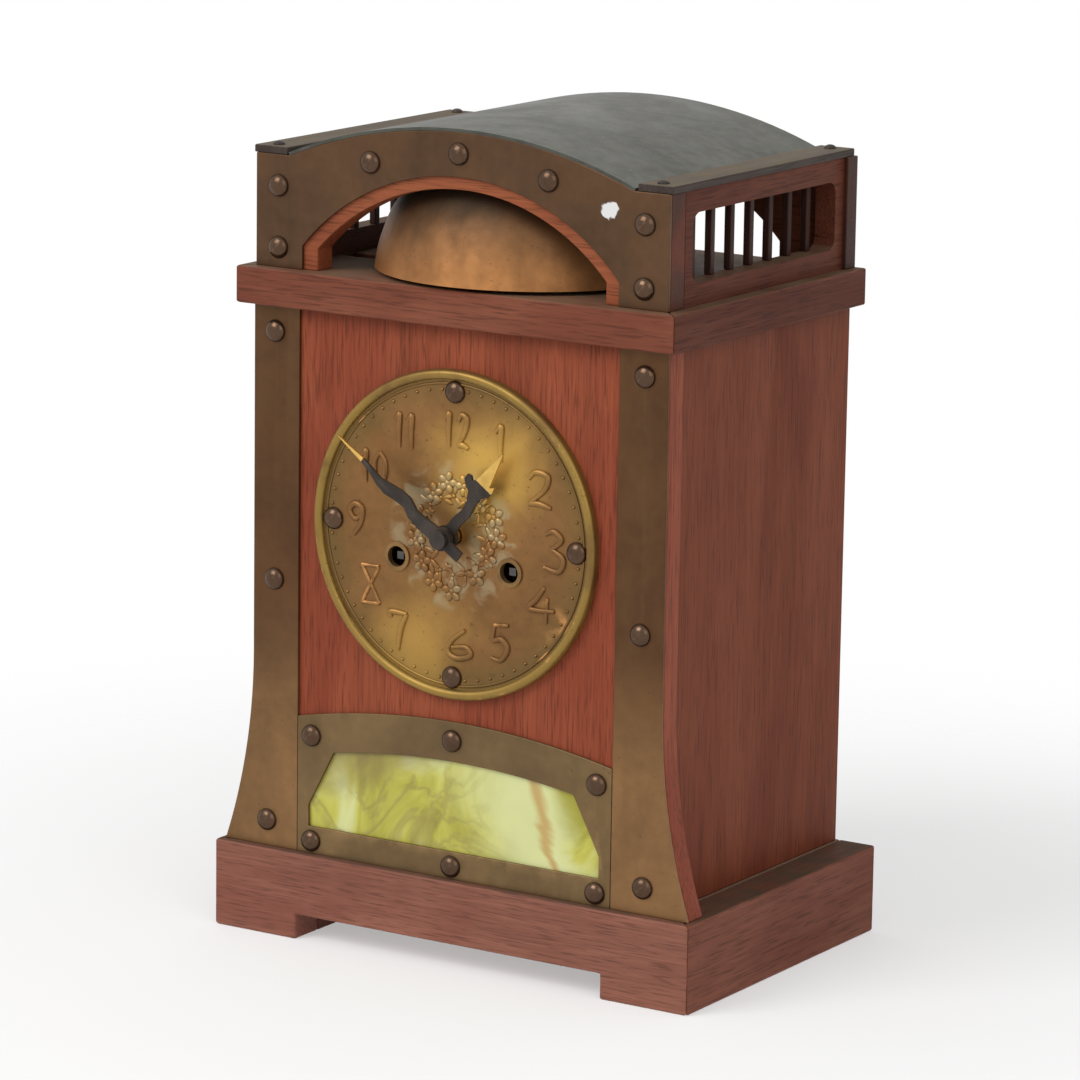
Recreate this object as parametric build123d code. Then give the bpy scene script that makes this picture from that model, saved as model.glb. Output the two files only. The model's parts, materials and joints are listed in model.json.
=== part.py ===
# Mantel clock with an open bell chamber, sizes in millimetres.
# X runs to the right of the dial, Y to the back, Z up; the front faces -Y.
import math
import os

from build123d import *

os.makedirs("parts", exist_ok=True)

# Driving dimensions, depths measured from the front face of the brass straps
# Case: half widths, heights and board thicknesses
CASE_HALF = 95.0
CASE_BACK = 140.0
BRASS_T = 1.5
BOARD_T = 10.0
SIDE_T = 9.0
SIDE_INSET = 0.7
FLARE_OUT = 13.4
FLARE_H = 79.4
STRAP_W = 21.5
# Plinth
PLINTH_H = 35.6
PLINTH_T = 16.0
PLINTH_LEDGE = 2.6
PLINTH_FRONT = -3.6
PLINTH_BEHIND = 2.4
FOOT_W = 39.5
CHANNEL_H = 10.2
# Cornice
CORNICE_H = 14.7
CORNICE_LEDGE = 5.4
CORNICE_FRONT = -5.3
CORNICE_BEHIND = 1.3
CORNICE_RAIL = 18.0
# Lower brass frame and the coloured glass behind it
PANEL_GAP = 0.2
PANEL_RISE = 63.4
PANEL_ARCH = 8.0
GLASS_SIDE = 5.3
GLASS_SLOPE = 12.0
GLASS_SILL = 11.1
GLASS_KNEE_H = 8.8
GLASS_RIM = 16.0
GLASS_ARCH = 4.7
GLASS_T = 3.0
GLASS_LAP = 3.8
GLASS_PLAY = 0.2
# Dial
DIAL_MARGIN = 8.5
DIAL_FOOT_GAP = 9.3
DIAL_HEAD_GAP = 16.9
DIAL_FACE = -0.4
DIAL_RIM_W = 4.0
DIAL_RIM_ROUND = 1.88
DIAL_RIM_FRONT = -2.6
DIAL_STUD_INSET = 8.7
DIAL_BORE_R = 3.9
BOARD_HOLE_R = 44.0
WIND_X = 26.0
WIND_DROP = 11.4
WIND_R = 4.7
GROMMET_T = 0.6
GROMMET_FLANGE = 1.0
GROMMET_H = 0.8
# Bell chamber
BELFRY_INSET = 0.6
BELFRY_H = 44.5
SHOULDER_W = 15.8
ARCH_RISE = 15.6
PLATE_RIM = 6.1
PLATE_SPRING_H = 9.4
PLATE_CROWN_W = 17.4
WOOD_LIP = 6.5
WOOD_SPRING_H = 8.6
WOOD_CROWN_W = 22.4
BACK_BOARD_T = 8.0
BACK_BOARD_EAR = 1.9
BACK_BOARD_INSET = 1.8
GRILLE_FRONT = 5.5
GRILLE_BEHIND = 6.0
GRILLE_FOOT = 8.6
GRILLE_HEAD = 8.9
GRILLE_R = 5.0
SLAT_COUNT = 7
SLAT_PITCH = 14.6
SLAT_W = 3.2
SLAT_D = 3.0
# Roof
SHEET_T = 1.2
BATTEN_GAP = 1.4
BATTEN_EAVE = 1.1
BATTEN_T = 3.0
BATTEN_FRONT = 0.3
BATTEN_BEHIND = 2.0
NAIL_R = 0.9
NAIL_HEAD_R = 2.4
NAIL_HEAD_H = 1.5
NAIL_INSET = 6.0
# Bell: radius and height of points on its outside, from the rim up
BELL_Y = 53.0
BELL_LIFT = 1.7
BELL_T = 2.4
BELL_TAPER = 0.75
BELL_PROFILE = [
    (61.6, 0.0),
    (61.0, 4.0),
    (59.8, 9.5),
    (57.6, 16.0),
    (54.0, 24.0),
    (47.6, 31.0),
    (38.0, 36.6),
    (24.0, 40.8),
    (8.0, 42.4),
]
POST_R = 3.0
POST_DEPTH = 8.0
POST_THREAD_R = 2.0
POST_FOOT_R = 6.0
POST_FOOT_H = 1.2
BELL_NUT_R = 4.5
BELL_NUT_H = 3.5
# Studs: head, pin and distances from the edges that they hold
STUD_R = 4.5
STUD_H = 2.8
STUD_PIN_R = 1.2
STUD_PIN_L = 6.0
BELFRY_STUD_INSET = 10.7
SHOULDER_STUD_DROP = 12.2
FOOT_STUD_RISE = 8.0
ARCH_STUD_INSET = 38.0
ARCH_STUD_DROP = 15.1
CROWN_STUD_DROP = 8.4
STRAP_STUD_INSET = 10.1
STRAP_FOOT_INSET = 7.0
STRAP_TOP_DROP = 10.5
STRAP_MID_DROP = 28.1
STRAP_FOOT_RISE = 10.7
PANEL_STUD_INSET = 6.7
PANEL_SIDE_DROP = 7.1
PANEL_CROWN_DROP = 7.6
PANEL_FOOT_RISE = 5.2
# Hands: angles clockwise from twelve, places along Y, boss and pipe radii
MINUTE_ANGLE = 306.3
HOUR_ANGLE = 36.1
HOUR_Y = -5.4
MINUTE_Y = -8.8
HAND_T = 1.2
HAND_BOSS_T = 0.9
MINUTE_BOSS_R = 4.6
HOUR_BOSS_R = 5.0
HAND_NUT_R = 3.6
HAND_NUT_H = 2.2
HAND_NUT_WALL = 0.4
CANNON_R = 2.3
HOUR_PIPE_R = 3.4
MINUTE_SHORT = 5.7
HOUR_SHORT = 21.0
# Outlines of the hands, along their length and to their left
MINUTE_SHAPE = [
    (-10.6, 2.0),
    (-4.0, 2.2),
    (4.0, 3.4),
    (11.0, 3.8),
    (16.0, 3.4),
    (20.0, 1.6),
    (25.0, 2.3),
    (30.0, 3.6),
    (35.0, 3.0),
    (40.0, 1.6),
    (45.5, 0.8),
    (59.3, 0.15),
    (59.3, -0.15),
    (45.5, -0.9),
    (40.0, -0.6),
    (35.0, -0.2),
    (30.0, -1.6),
    (25.0, -3.0),
    (20.0, -3.4),
    (15.0, -1.6),
    (11.0, -1.8),
    (4.0, -3.0),
    (-4.0, -2.4),
    (-10.6, -2.4),
]
HOUR_SHAPE = [
    (-3.5, 1.6),
    (3.5, 2.4),
    (9.0, 2.2),
    (14.0, 1.0),
    (18.5, 1.4),
    (22.0, 3.2),
    (23.6, 6.0),
    (25.0, 7.6),
    (27.4, 7.4),
    (27.8, 5.8),
    (26.6, 4.4),
    (28.2, 3.0),
    (44.0, 0.15),
    (44.0, -0.15),
    (29.6, -3.2),
    (30.8, -4.9),
    (28.6, -5.4),
    (25.6, -4.6),
    (23.0, -2.8),
    (19.0, -2.6),
    (14.0, -3.2),
    (9.0, -2.2),
    (3.5, -2.4),
    (-3.5, -1.6),
]
# Movement plates, pillars and running fits
FRONT_PLATE_Y = 17.0
BACK_PLATE_Y = 57.0
PLATE_T = 2.5
PLATE_HALF = 52.0
PLATE_BELOW = 41.3
PLATE_ABOVE = 52.7
PILLAR_R = 2.4
PILLAR_INSET = 3.2
PILLAR_END = 5.0
MOVEMENT_POST_R = 3.0
RUN_GAP = 0.05
END_GAP = 0.2
# Trains: tooth counts, modules and places to the side
BARREL_TEETH = 60
BARREL_MOD = 0.8
BARREL_DRUM_R = 22.4
CENTRE_PINION_TEETH = 11
CENTRE_TEETH = 60
CENTRE_MOD = 0.5
THIRD_PINION_TEETH = 6
THIRD_TEETH = 60
THIRD_MOD = 0.45
THIRD_X = 8.0
ESCAPE_PINION_TEETH = 6
ESCAPE_TEETH = 45
ESCAPE_R = 13.0
ESCAPE_TOOTH_H = 1.9
PIN_PINION_TEETH = 12
PIN_TEETH = 54
PIN_MOD = 0.5
PIN_X = -30.0
PIN_COUNT = 8
PIN_RING_R = 10.2
PIN_R = 0.7
WARN_PINION_TEETH = 6
WARN_TEETH = 48
WARN_MOD = 0.42
WARN_X = -18.5
FLY_PINION_TEETH = 6
FLY_X = -26.5
FLY_HALF = 7.6
FLY_T = 0.8
FLY_HUB_R = 1.7
CANNON_TEETH = 18
MINUTE_TEETH = 54
MINUTE_MOD = 0.5
MINUTE_PINION_TEETH = 12
HOUR_TEETH = 48
HOUR_MOD = 0.6
MINUTE_STUD_R = 1.4
# Tooth outlines: height over the pitch circle in modules, half width in pitches
LEAF_SHAPE = [(-1.5, 0.17), (0.1, 0.165), (0.7, 0.06)]
TOOTH_SHAPE = [(-1.3, 0.265), (0.1, 0.235), (0.9, 0.08)]
# Escape tooth: height share below the tip, angle in radians from its root
ESCAPE_SHAPE = [(1.0, 0.0), (0.0, 0.075), (0.0, 0.09), (1.0, 0.07)]
# Crossings of the wheels: outside of the hub, inside of the rim, width of a spoke
HOUR_CROSSING = (5.5, 11.6)
MINUTE_CROSSING = (4.6, 10.4)
CENTRE_CROSSING = (4.0, 12.6)
THIRD_CROSSING = (3.6, 11.2)
ESCAPE_CROSSING = (3.2, 9.6)
PIN_CROSSING = (4.0, 8.4)
WARN_CROSSING = (3.2, 7.6)
SPOKE_W = 2.4
# Arbors
CENTRE_ARBOR_R = 1.5
PIN_ARBOR_R = 1.2
SMALL_ARBOR_R = 0.75
WIND_ARBOR_R = 2.0
ANCHOR_ARBOR_R = 1.2
HAMMER_ARBOR_R = 1.2
# Levels of the trains along Y, front and back
HOUR_WHEEL_Y = (8.6, 10.0)
MINUTE_PINION_Y = (7.8, 12.7)
MINUTE_WHEEL_Y = (12.6, 14.4)
CANNON_PINION_Y = (12.2, 14.8)
GOING_DRUM_Y = (22.0, 42.2)
GOING_TEETH_Y = (42.0, 45.0)
CENTRE_PINION_Y = (41.0, 45.8)
CENTRE_WHEEL_Y = (51.4, 53.0)
THIRD_WHEEL_Y = (46.8, 48.2)
THIRD_PINION_Y = (50.0, 54.6)
ESCAPE_WHEEL_Y = (38.0, 39.2)
ESCAPE_PINION_Y = (45.2, 49.8)
ANCHOR_Y = (37.4, 39.8)
STRIKE_TEETH_Y = (21.5, 24.5)
STRIKE_DRUM_Y = (24.3, 44.5)
PIN_PINION_Y = (20.6, 25.4)
PIN_WHEEL_Y = (48.0, 49.5)
PINS_Y = (45.2, 48.3)
WARN_WHEEL_Y = (26.0, 27.4)
WARN_PINION_Y = (46.4, 51.2)
FLY_PINION_Y = (24.4, 29.0)
FLY_VANE_Y = (31.0, 44.0)
CRUTCH_Y = (61.0, 62.2)
RATCHET_Y = (12.0, 14.0)
CLICK_Y = (12.2, 13.8)
# Winding work
RATCHET_R = 8.0
RATCHET_TEETH = 18
RATCHET_TOOTH_H = 1.2
RATCHET_STEEP = 0.9
WIND_SQUARE = 3.0
WIND_SQUARE_Y = (1.6, 9.2)
WIND_ROUND_FRONT = 9.0
WIND_COLLAR_R = 3.2
CLICK_X = 36.5
CLICK_RISE = 1.2
CLICK_R = 3.0
CLICK_STUD_R = 1.2
CLICK_ROOT_W = 3.6
CLICK_TIP_W = 1.0
CLICK_CLEAR = 0.5
CLICK_LEAN = 0.35
STUD_FRONT = 0.8
# Anchor, crutch, suspension and pendulum
ANCHOR_HALF_SPAN = 30.0
YOKE_HALF = 2.2
YOKE_TOP = 2.4
YOKE_FOOT = 1.5
PALLET_OUT = 1.9
PALLET_IN = 0.1
PALLET_TOP = 3.6
PALLET_TIP = 0.9
PALLET_HEEL = 2.2
CRUTCH_L = 36.0
CRUTCH_W = 2.0
FORK_W = 5.0
FORK_H = 1.4
FORK_PIN_W = 1.0
FORK_PIN_X = 2.0
FORK_REACH = 1.6
COCK_HALF = 9.0
COCK_T = 2.5
COCK_FOOT = 3.5
COCK_TOP = 9.5
COCK_ARM_HALF = 4.0
COCK_ARM_FOOT = 5.0
COCK_REACH = 3.0
SPRING_W = 3.2
SPRING_T = 0.3
SPRING_TOP = 4.7
SPRING_L = 12.0
PENDULUM_Y = 67.0
PENDULUM_L = 158.0
ROD_W = 2.4
ROD_T = 2.0
ROD_TAIL = 8.0
BOB_R = 13.5
BOB_T = 8.0
BOB_ROUND = 2.5
RATING_NUT_R = 3.0
RATING_NUT_H = 4.0
SWING_ROOM = 18.0
WELL_CLEAR = 4.0
# Hammer
HAMMER_X = -44.0
HAMMER_Y = 46.5
HAMMER_RISE = 29.7
HAMMER_HEAD_RISE = 11.9
HAMMER_ARM_W = 2.4
HAMMER_HEAD_R = 3.6
HAMMER_HEAD_L = 11.0
HAMMER_HEAD_OUT = 4.3
HAMMER_HUB_R = 2.6
HAMMER_HUB_HALF = 3.0
HAMMER_TAIL = [(-1.5, 0.0), (1.5, 0.0), (2.2, -9.0), (0.4, -9.6)]
HAMMER_TAIL_T = 2.0
HAMMER_SLOT_RIGHT = 18.0
HAMMER_SLOT_HALF = 5.0
# Rear door, its hinges and its turn button
DOOR_GAP = 0.4
DOOR_T = 8.0
DOOR_RISE = 19.4
DOOR_DROP = 15.2
HINGE_R = 1.6
HINGE_OUT = 2.0
HINGE_PIN_R = 0.7
HINGE_INSET = 30.0
HINGE_HALF = 12.0
HINGE_LEAF_W = 8.0
HINGE_LEAF_T = 1.0
HINGE_SPLIT = 0.3
KNUCKLE_HALF = 3.7
KNUCKLE_END = 4.0
KNUCKLE_CUT = 2.2
KNUCKLE_WEB = 1.5
BUTTON_HALF = 2.6
BUTTON_L = 9.5
BUTTON_T = 1.8
BUTTON_PIN_R = 1.2
BUTTON_PIN_L = 6.0
BUTTON_KNOB_R = 1.6
BUTTON_KNOB_RISE = 6.5
BUTTON_KNOB_H = 3.4
# Overrun of cutting tools past the faces that they cut
PAST = 1.0

# Derived widths
PLINTH_HALF = CASE_HALF + FLARE_OUT + PLINTH_LEDGE
FOOT_INNER = PLINTH_HALF - FOOT_W
SIDE_OUT = CASE_HALF - SIDE_INSET
SIDE_IN = SIDE_OUT - SIDE_T
CORNICE_HALF = CASE_HALF + CORNICE_LEDGE
STRAP_INNER = CASE_HALF - STRAP_W
PANEL_HALF = STRAP_INNER - PANEL_GAP
GLASS_HALF = PANEL_HALF - GLASS_SIDE
GLASS_TOP_HALF = GLASS_HALF - GLASS_SLOPE
DIAL_R = STRAP_INNER - DIAL_MARGIN
DIAL_STUD_R = DIAL_R - DIAL_STUD_INSET
BELFRY_HALF = CASE_HALF - BELFRY_INSET
BACK_BOARD_HALF = BELFRY_HALF + BACK_BOARD_EAR
ARCH_HALF = BELFRY_HALF - SHOULDER_W
PLATE_OPEN_HALF = ARCH_HALF - PLATE_RIM
WOOD_OPEN_HALF = PLATE_OPEN_HALF - WOOD_LIP
BATTEN_IN = ARCH_HALF + BATTEN_GAP
BATTEN_OUT = BELFRY_HALF + BATTEN_EAVE
# Derived heights
FLARE_TOP = PLINTH_H + FLARE_H
PANEL_CROWN = PLINTH_H + PANEL_RISE
PANEL_SIDE_TOP = PANEL_CROWN - PANEL_ARCH
GLASS_FOOT = PLINTH_H + GLASS_SILL
GLASS_KNEE = GLASS_FOOT + GLASS_KNEE_H
GLASS_CROWN = PANEL_CROWN - GLASS_RIM
GLASS_TOP_SIDE = GLASS_CROWN - GLASS_ARCH
DIAL_Z = PANEL_CROWN + DIAL_FOOT_GAP + DIAL_R
CASE_TOP = DIAL_Z + DIAL_R + DIAL_HEAD_GAP
CORNICE_TOP = CASE_TOP + CORNICE_H
SHOULDER_Z = CORNICE_TOP + BELFRY_H
ARCH_CROWN = SHOULDER_Z + ARCH_RISE
PLATE_SPRING = CORNICE_TOP + PLATE_SPRING_H
PLATE_CROWN = ARCH_CROWN - PLATE_CROWN_W
WOOD_SPRING = CORNICE_TOP + WOOD_SPRING_H
WOOD_CROWN = ARCH_CROWN - WOOD_CROWN_W
GRILLE_Z0 = CORNICE_TOP + GRILLE_FOOT
GRILLE_Z1 = SHOULDER_Z - GRILLE_HEAD
BELL_RIM_Z = CORNICE_TOP + BELL_LIFT
BELL_H = BELL_PROFILE[-1][1]
BELL_TOP = BELL_RIM_Z + BELL_H
PLATE_Z0 = DIAL_Z - PLATE_BELOW
PLATE_Z1 = DIAL_Z + PLATE_ABOVE
HAMMER_Z = DIAL_Z + HAMMER_RISE
HAMMER_HEAD_Z = BELL_RIM_Z + HAMMER_HEAD_RISE
DOOR_Z0 = PLINTH_H + DOOR_RISE
DOOR_Z1 = CASE_TOP - DOOR_DROP
# Derived depths
BOARD_Y0 = BRASS_T
BOARD_Y1 = BRASS_T + BOARD_T
PLINTH_BACK = CASE_BACK + PLINTH_BEHIND
CORNICE_BACK = CASE_BACK + CORNICE_BEHIND
BACK_BOARD_Y1 = CORNICE_BACK - BACK_BOARD_INSET
BACK_BOARD_Y0 = BACK_BOARD_Y1 - BACK_BOARD_T
BATTEN_BACK = CASE_BACK - BATTEN_BEHIND
GRILLE_Y0 = BOARD_Y1 + GRILLE_FRONT
GRILLE_Y1 = BACK_BOARD_Y0 - GRILLE_BEHIND
DOOR_Y0 = CASE_BACK - DOOR_T
REAR_PLATE_Y = BACK_PLATE_Y + PLATE_T
ARBOR_Y0 = FRONT_PLATE_Y + END_GAP
ARBOR_Y1 = REAR_PLATE_Y - END_GAP
FRONT_TIP = MINUTE_Y - HAND_T - HAND_NUT_H
REAR_TIP = CASE_BACK + HINGE_OUT + HINGE_R
Y_SHIFT = -(FRONT_TIP + REAR_TIP) / 2.0
# Derived places in X and Z
CENTRE = (0.0, DIAL_Z)
GOING = (WIND_X, DIAL_Z - WIND_DROP)
STRIKE = (-WIND_X, DIAL_Z - WIND_DROP)
HAMMER = (HAMMER_X, HAMMER_Z)
BUTTON = ((SIDE_IN + SIDE_OUT) / 2.0, (DOOR_Z0 + DOOR_Z1) / 2.0)
HINGE_X = -SIDE_IN + DOOR_GAP / 2.0
HINGE_Y = CASE_BACK + HINGE_OUT


def above(origin, reach, x):
    """Point at a given distance from origin, at the given x, on its upper side."""
    dx = x - origin[0]
    return (x, origin[1] + math.sqrt(reach * reach - dx * dx))


def spacing(teeth, leaves, module):
    """Distance between the centres of a wheel and its pinion."""
    return module * (teeth + leaves) / 2.0


THIRD = above(CENTRE, spacing(CENTRE_TEETH, THIRD_PINION_TEETH, CENTRE_MOD), THIRD_X)
ESCAPE = above(THIRD, spacing(THIRD_TEETH, ESCAPE_PINION_TEETH, THIRD_MOD), 0.0)
ANCHOR = (0.0, ESCAPE[1] + ESCAPE_R / math.cos(math.radians(ANCHOR_HALF_SPAN)))
PIN = above(STRIKE, spacing(BARREL_TEETH, PIN_PINION_TEETH, BARREL_MOD), PIN_X)
WARN = above(PIN, spacing(PIN_TEETH, WARN_PINION_TEETH, PIN_MOD), WARN_X)
FLY = above(WARN, spacing(WARN_TEETH, FLY_PINION_TEETH, WARN_MOD), FLY_X)
MINUTE = (0.0, DIAL_Z + spacing(CANNON_TEETH, MINUTE_TEETH, MINUTE_MOD))
BOB_Z = ANCHOR[1] - PENDULUM_L
ROD_END_Z = BOB_Z - BOB_R - ROD_TAIL


def box(x0, x1, y0, y1, z0, z1):
    """Block between two corners."""
    return Pos((x0 + x1) / 2, (y0 + y1) / 2, (z0 + z1) / 2) * Box(x1 - x0, y1 - y0, z1 - z0)


def side_box(sign, x0, x1, y0, y1, z0, z1):
    """Block on the right, or its mirror image on the left."""
    low, high = sorted((sign * x0, sign * x1))
    return box(low, high, y0, y1, z0, z1)


def rod_y(at, r, y0, y1):
    """Round bar along Y at an (x, z) place."""
    return Pos(at[0], (y0 + y1) / 2, at[1]) * Rot(90, 0, 0) * Cylinder(r, y1 - y0)


def rod_z(x, y, r, z0, z1):
    """Round bar along Z."""
    return Pos(x, y, (z0 + z1) / 2) * Cylinder(r, z1 - z0)


def prism(points, y0, y1):
    """Straight-sided outline in X and Z, given a depth along Y."""
    face = make_face(Polyline([(x, y0, z) for x, z in points], close=True))
    return extrude(face, amount=y1 - y0, dir=(0, 1, 0))


def plan(points, z0, z1):
    """Straight-sided outline in X and Y, given a height along Z."""
    face = make_face(Polyline([(x, y, z0) for x, y in points], close=True))
    return extrude(face, amount=z1 - z0, dir=(0, 0, 1))


def arched(points, y0, y1):
    """Outline with arcs: a point, or a pair of mid point and end point for an arc."""
    edges = []
    last = points[0]
    for item in list(points[1:]) + [points[0]]:
        start = (last[0], y0, last[1])
        if isinstance(item[0], tuple):
            mid, last = item
            edges.append(ThreePointArc(start, (mid[0], y0, mid[1]), (last[0], y0, last[1])))
        elif math.dist(last, item) > 0.0:
            last = item
            edges.append(Line(start, (last[0], y0, last[1])))
    return extrude(make_face(edges), amount=y1 - y0, dir=(0, 1, 0))


def vault(half, base, spring, crown, y0, y1):
    """Opening or board with upright sides and an arched top."""
    arc = ((0.0, crown), (-half, spring))
    return arched([(-half, base), (half, base), (half, spring), arc], y0, y1)


def polar(at, r, angle):
    """Point at a radius and an angle from a centre, in X and Z."""
    return (at[0] + r * math.cos(angle), at[1] + r * math.sin(angle))


def gear(at, teeth, module, level, phase, profile):
    """Toothed disc; phase is the angle of one tooth in the XZ plane."""
    pitch = 2 * math.pi / teeth
    radius = teeth * module / 2
    points = []
    for k in range(teeth):
        mid = phase + k * pitch
        for rise, half in profile:
            points.append(polar(at, radius + rise * module, mid - half * pitch))
        for rise, half in reversed(profile):
            points.append(polar(at, radius + rise * module, mid + half * pitch))
    return prism(points, *level)


def bearing(a, b):
    """Angle of the line from a to b."""
    return math.atan2(b[1] - a[1], b[0] - a[0])


def wheel(at, other, teeth, module, level):
    """Wheel with a tooth gap turned to the pinion it drives."""
    return gear(at, teeth, module, level, bearing(at, other) + math.pi / teeth, TOOTH_SHAPE)


def pinion(at, other, teeth, module, level):
    """Pinion with a leaf turned to the wheel that drives it."""
    return gear(at, teeth, module, level, bearing(at, other), LEAF_SHAPE)


def spokes(at, crossing, level):
    """Crossings between hub and rim, to be cut from a wheel; four spokes are left."""
    y0, y1 = level
    hub, rim = crossing
    ring = rod_y(at, rim, y0 - PAST, y1 + PAST) - rod_y(at, hub, y0 - PAST, y1 + PAST)
    for length, width in ((2 * rim + PAST, SPOKE_W), (SPOKE_W, 2 * rim + PAST)):
        ring = ring - Pos(at[0], (y0 + y1) / 2, at[1]) * Box(length, y1 - y0 + 2 * PAST, width)
    return ring


def fuse(first, *rest):
    """One solid from touching pieces."""
    out = first
    for piece in rest:
        out = out + piece
    return out


def drill(body, places, r, y0, y1):
    """Round holes along Y."""
    for at in places:
        body = body - rod_y(at, r, y0, y1)
    return body


NODES = {}


def keep(name, shapes):
    """Store one node as one solid or a group of solids."""
    NODES[name] = shapes if isinstance(shapes, list) else [shapes]


def mirrored(points):
    """The same places on the left."""
    return points + [(-x, z) for x, z in points if x > 0.0]


BELFRY_STUDS = mirrored(
    [
        (BELFRY_HALF - BELFRY_STUD_INSET, SHOULDER_Z - SHOULDER_STUD_DROP),
        (BELFRY_HALF - BELFRY_STUD_INSET, CORNICE_TOP + FOOT_STUD_RISE),
        (ARCH_HALF - ARCH_STUD_INSET, ARCH_CROWN - ARCH_STUD_DROP),
        (0.0, ARCH_CROWN - CROWN_STUD_DROP),
    ]
)
STRAP_STUDS = mirrored(
    [
        (CASE_HALF - STRAP_STUD_INSET, CASE_TOP - STRAP_TOP_DROP),
        (CASE_HALF - STRAP_STUD_INSET, DIAL_Z - STRAP_MID_DROP),
        (CASE_HALF - STRAP_FOOT_INSET, PLINTH_H + STRAP_FOOT_RISE),
    ]
)
PANEL_STUDS = mirrored(
    [
        (PANEL_HALF - PANEL_STUD_INSET, PANEL_SIDE_TOP - PANEL_SIDE_DROP),
        (0.0, PANEL_CROWN - PANEL_CROWN_DROP),
        (PANEL_HALF - PANEL_STUD_INSET, PLINTH_H + PANEL_FOOT_RISE),
        (0.0, PLINTH_H + PANEL_FOOT_RISE),
    ]
)
DIAL_STUDS = [polar(CENTRE, DIAL_STUD_R, k * math.pi / 2) for k in range(4)]
STUD_HOLE_R = STUD_PIN_R + RUN_GAP


def flare_mid(sign):
    """Mid point of the flared arc on one side."""
    radius = (FLARE_H * FLARE_H + FLARE_OUT * FLARE_OUT) / (2 * FLARE_OUT)
    half = FLARE_H / 2
    out = radius - math.sqrt(radius * radius - half * half)
    return (sign * (CASE_HALF + out), FLARE_TOP - half)


def glass_outline(y0, y1, grow=0.0):
    """Outline of the coloured glass window, grown by an even margin."""
    slope = math.atan2(GLASS_TOP_SIDE - GLASS_KNEE, GLASS_SLOPE)
    knee = GLASS_KNEE + grow * (1 - math.cos(slope)) / math.sin(slope)
    side = GLASS_HALF + grow
    top = (GLASS_TOP_HALF + grow * math.sin(slope), GLASS_TOP_SIDE + grow * math.sin(slope))
    foot = GLASS_FOOT - grow
    arc = ((0.0, GLASS_CROWN + grow), (-top[0], top[1]))
    return arched([(-side, foot), (side, foot), (side, knee), top, arc, (-side, knee)], y0, y1)


def belfry_outline(half, y0, y1):
    """Arched board with flat shoulders."""
    foot = [(-half, CORNICE_TOP), (half, CORNICE_TOP), (half, SHOULDER_Z), (ARCH_HALF, SHOULDER_Z)]
    arc = ((0.0, ARCH_CROWN), (-ARCH_HALF, SHOULDER_Z))
    return arched(foot + [arc, (-half, SHOULDER_Z)], y0, y1)


def wood_opening(y0, y1):
    """Arched opening in the wooden boards of the bell chamber."""
    return vault(WOOD_OPEN_HALF, CORNICE_TOP - PAST, WOOD_SPRING, WOOD_CROWN, y0 - PAST, y1 + PAST)


def mitred(half, y0, y1, z0, z1, rail):
    """Front rail and two side rails with mitred front corners."""
    inner = half - rail
    front = plan([(-half, y0), (half, y0), (inner, y0 + rail), (-inner, y0 + rail)], z0, z1)
    sides = []
    for s in (-1, 1):
        points = [(s * half, y0), (s * half, y1), (s * inner, y1), (s * inner, y0 + rail)]
        sides.append(plan(points, z0, z1))
    return front, sides


def make_plinth():
    """Plinth boards and the board inside them, with a well under the pendulum."""
    front, sides = mitred(PLINTH_HALF, PLINTH_FRONT, PLINTH_BACK, 0.0, PLINTH_H, PLINTH_T)
    channel = box(-FOOT_INNER, FOOT_INNER, PLINTH_FRONT - PAST, PLINTH_BACK + PAST, -PAST, CHANNEL_H)
    keep("plinth_front", front - channel)
    inner = PLINTH_HALF - PLINTH_T
    rear = PLINTH_FRONT + PLINTH_T
    feet = [side_box(s, FOOT_INNER, inner, rear, PLINTH_BACK, 0.0, CHANNEL_H) for s in (-1, 1)]
    keep("plinth_sides", [fuse(side, foot) for side, foot in zip(sides, feet)])
    board = box(-inner, inner, rear, PLINTH_BACK, CHANNEL_H, PLINTH_H)
    half = BOB_T / 2 + WELL_CLEAR
    well = box(
        -BOB_R - SWING_ROOM,
        BOB_R + SWING_ROOM,
        PENDULUM_Y - half,
        PENDULUM_Y + half,
        ROD_END_Z - WELL_CLEAR,
        ANCHOR[1],
    )
    keep("plinth_board", board - well)


def make_case():
    """Front board, sides and back rails."""
    out = CASE_HALF + FLARE_OUT
    right = [(out, PLINTH_H), (flare_mid(1), (CASE_HALF, FLARE_TOP)), (CASE_HALF, CASE_TOP)]
    left = [(-CASE_HALF, CASE_TOP), (-CASE_HALF, FLARE_TOP), (flare_mid(-1), (-out, PLINTH_H))]
    board = arched([(-out, PLINTH_H)] + right + left, BOARD_Y0, BOARD_Y1)
    board = board - rod_y(CENTRE, BOARD_HOLE_R, BOARD_Y0 - PAST, BOARD_Y1 + PAST)
    board = board - glass_outline(BOARD_Y0 - PAST, BOARD_Y1 + PAST)
    board = board - glass_outline(BOARD_Y0 - PAST, BOARD_Y0 + GLASS_T, GLASS_LAP + GLASS_PLAY)
    places = STRAP_STUDS + PANEL_STUDS + DIAL_STUDS
    keep("front_board", drill(board, places, STUD_HOLE_R, BOARD_Y0 - PAST, BRASS_T + STUD_PIN_L))
    for name, s in (("side_panel_left", -1), ("side_panel_right", 1)):
        panel = side_box(s, SIDE_IN, SIDE_OUT, BOARD_Y1, CASE_BACK, PLINTH_H, CASE_TOP)
        if s > 0:
            hole = CASE_BACK - BUTTON_PIN_L - PAST
            panel = drill(panel, [BUTTON], BUTTON_PIN_R + RUN_GAP, hole, CASE_BACK + PAST)
        keep(name, panel)
    levels = ((PLINTH_H, DOOR_Z0), (DOOR_Z1, CASE_TOP))
    keep("back_rails", [box(-SIDE_IN, SIDE_IN, DOOR_Y0, CASE_BACK, z0, z1) for z0, z1 in levels])


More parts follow.
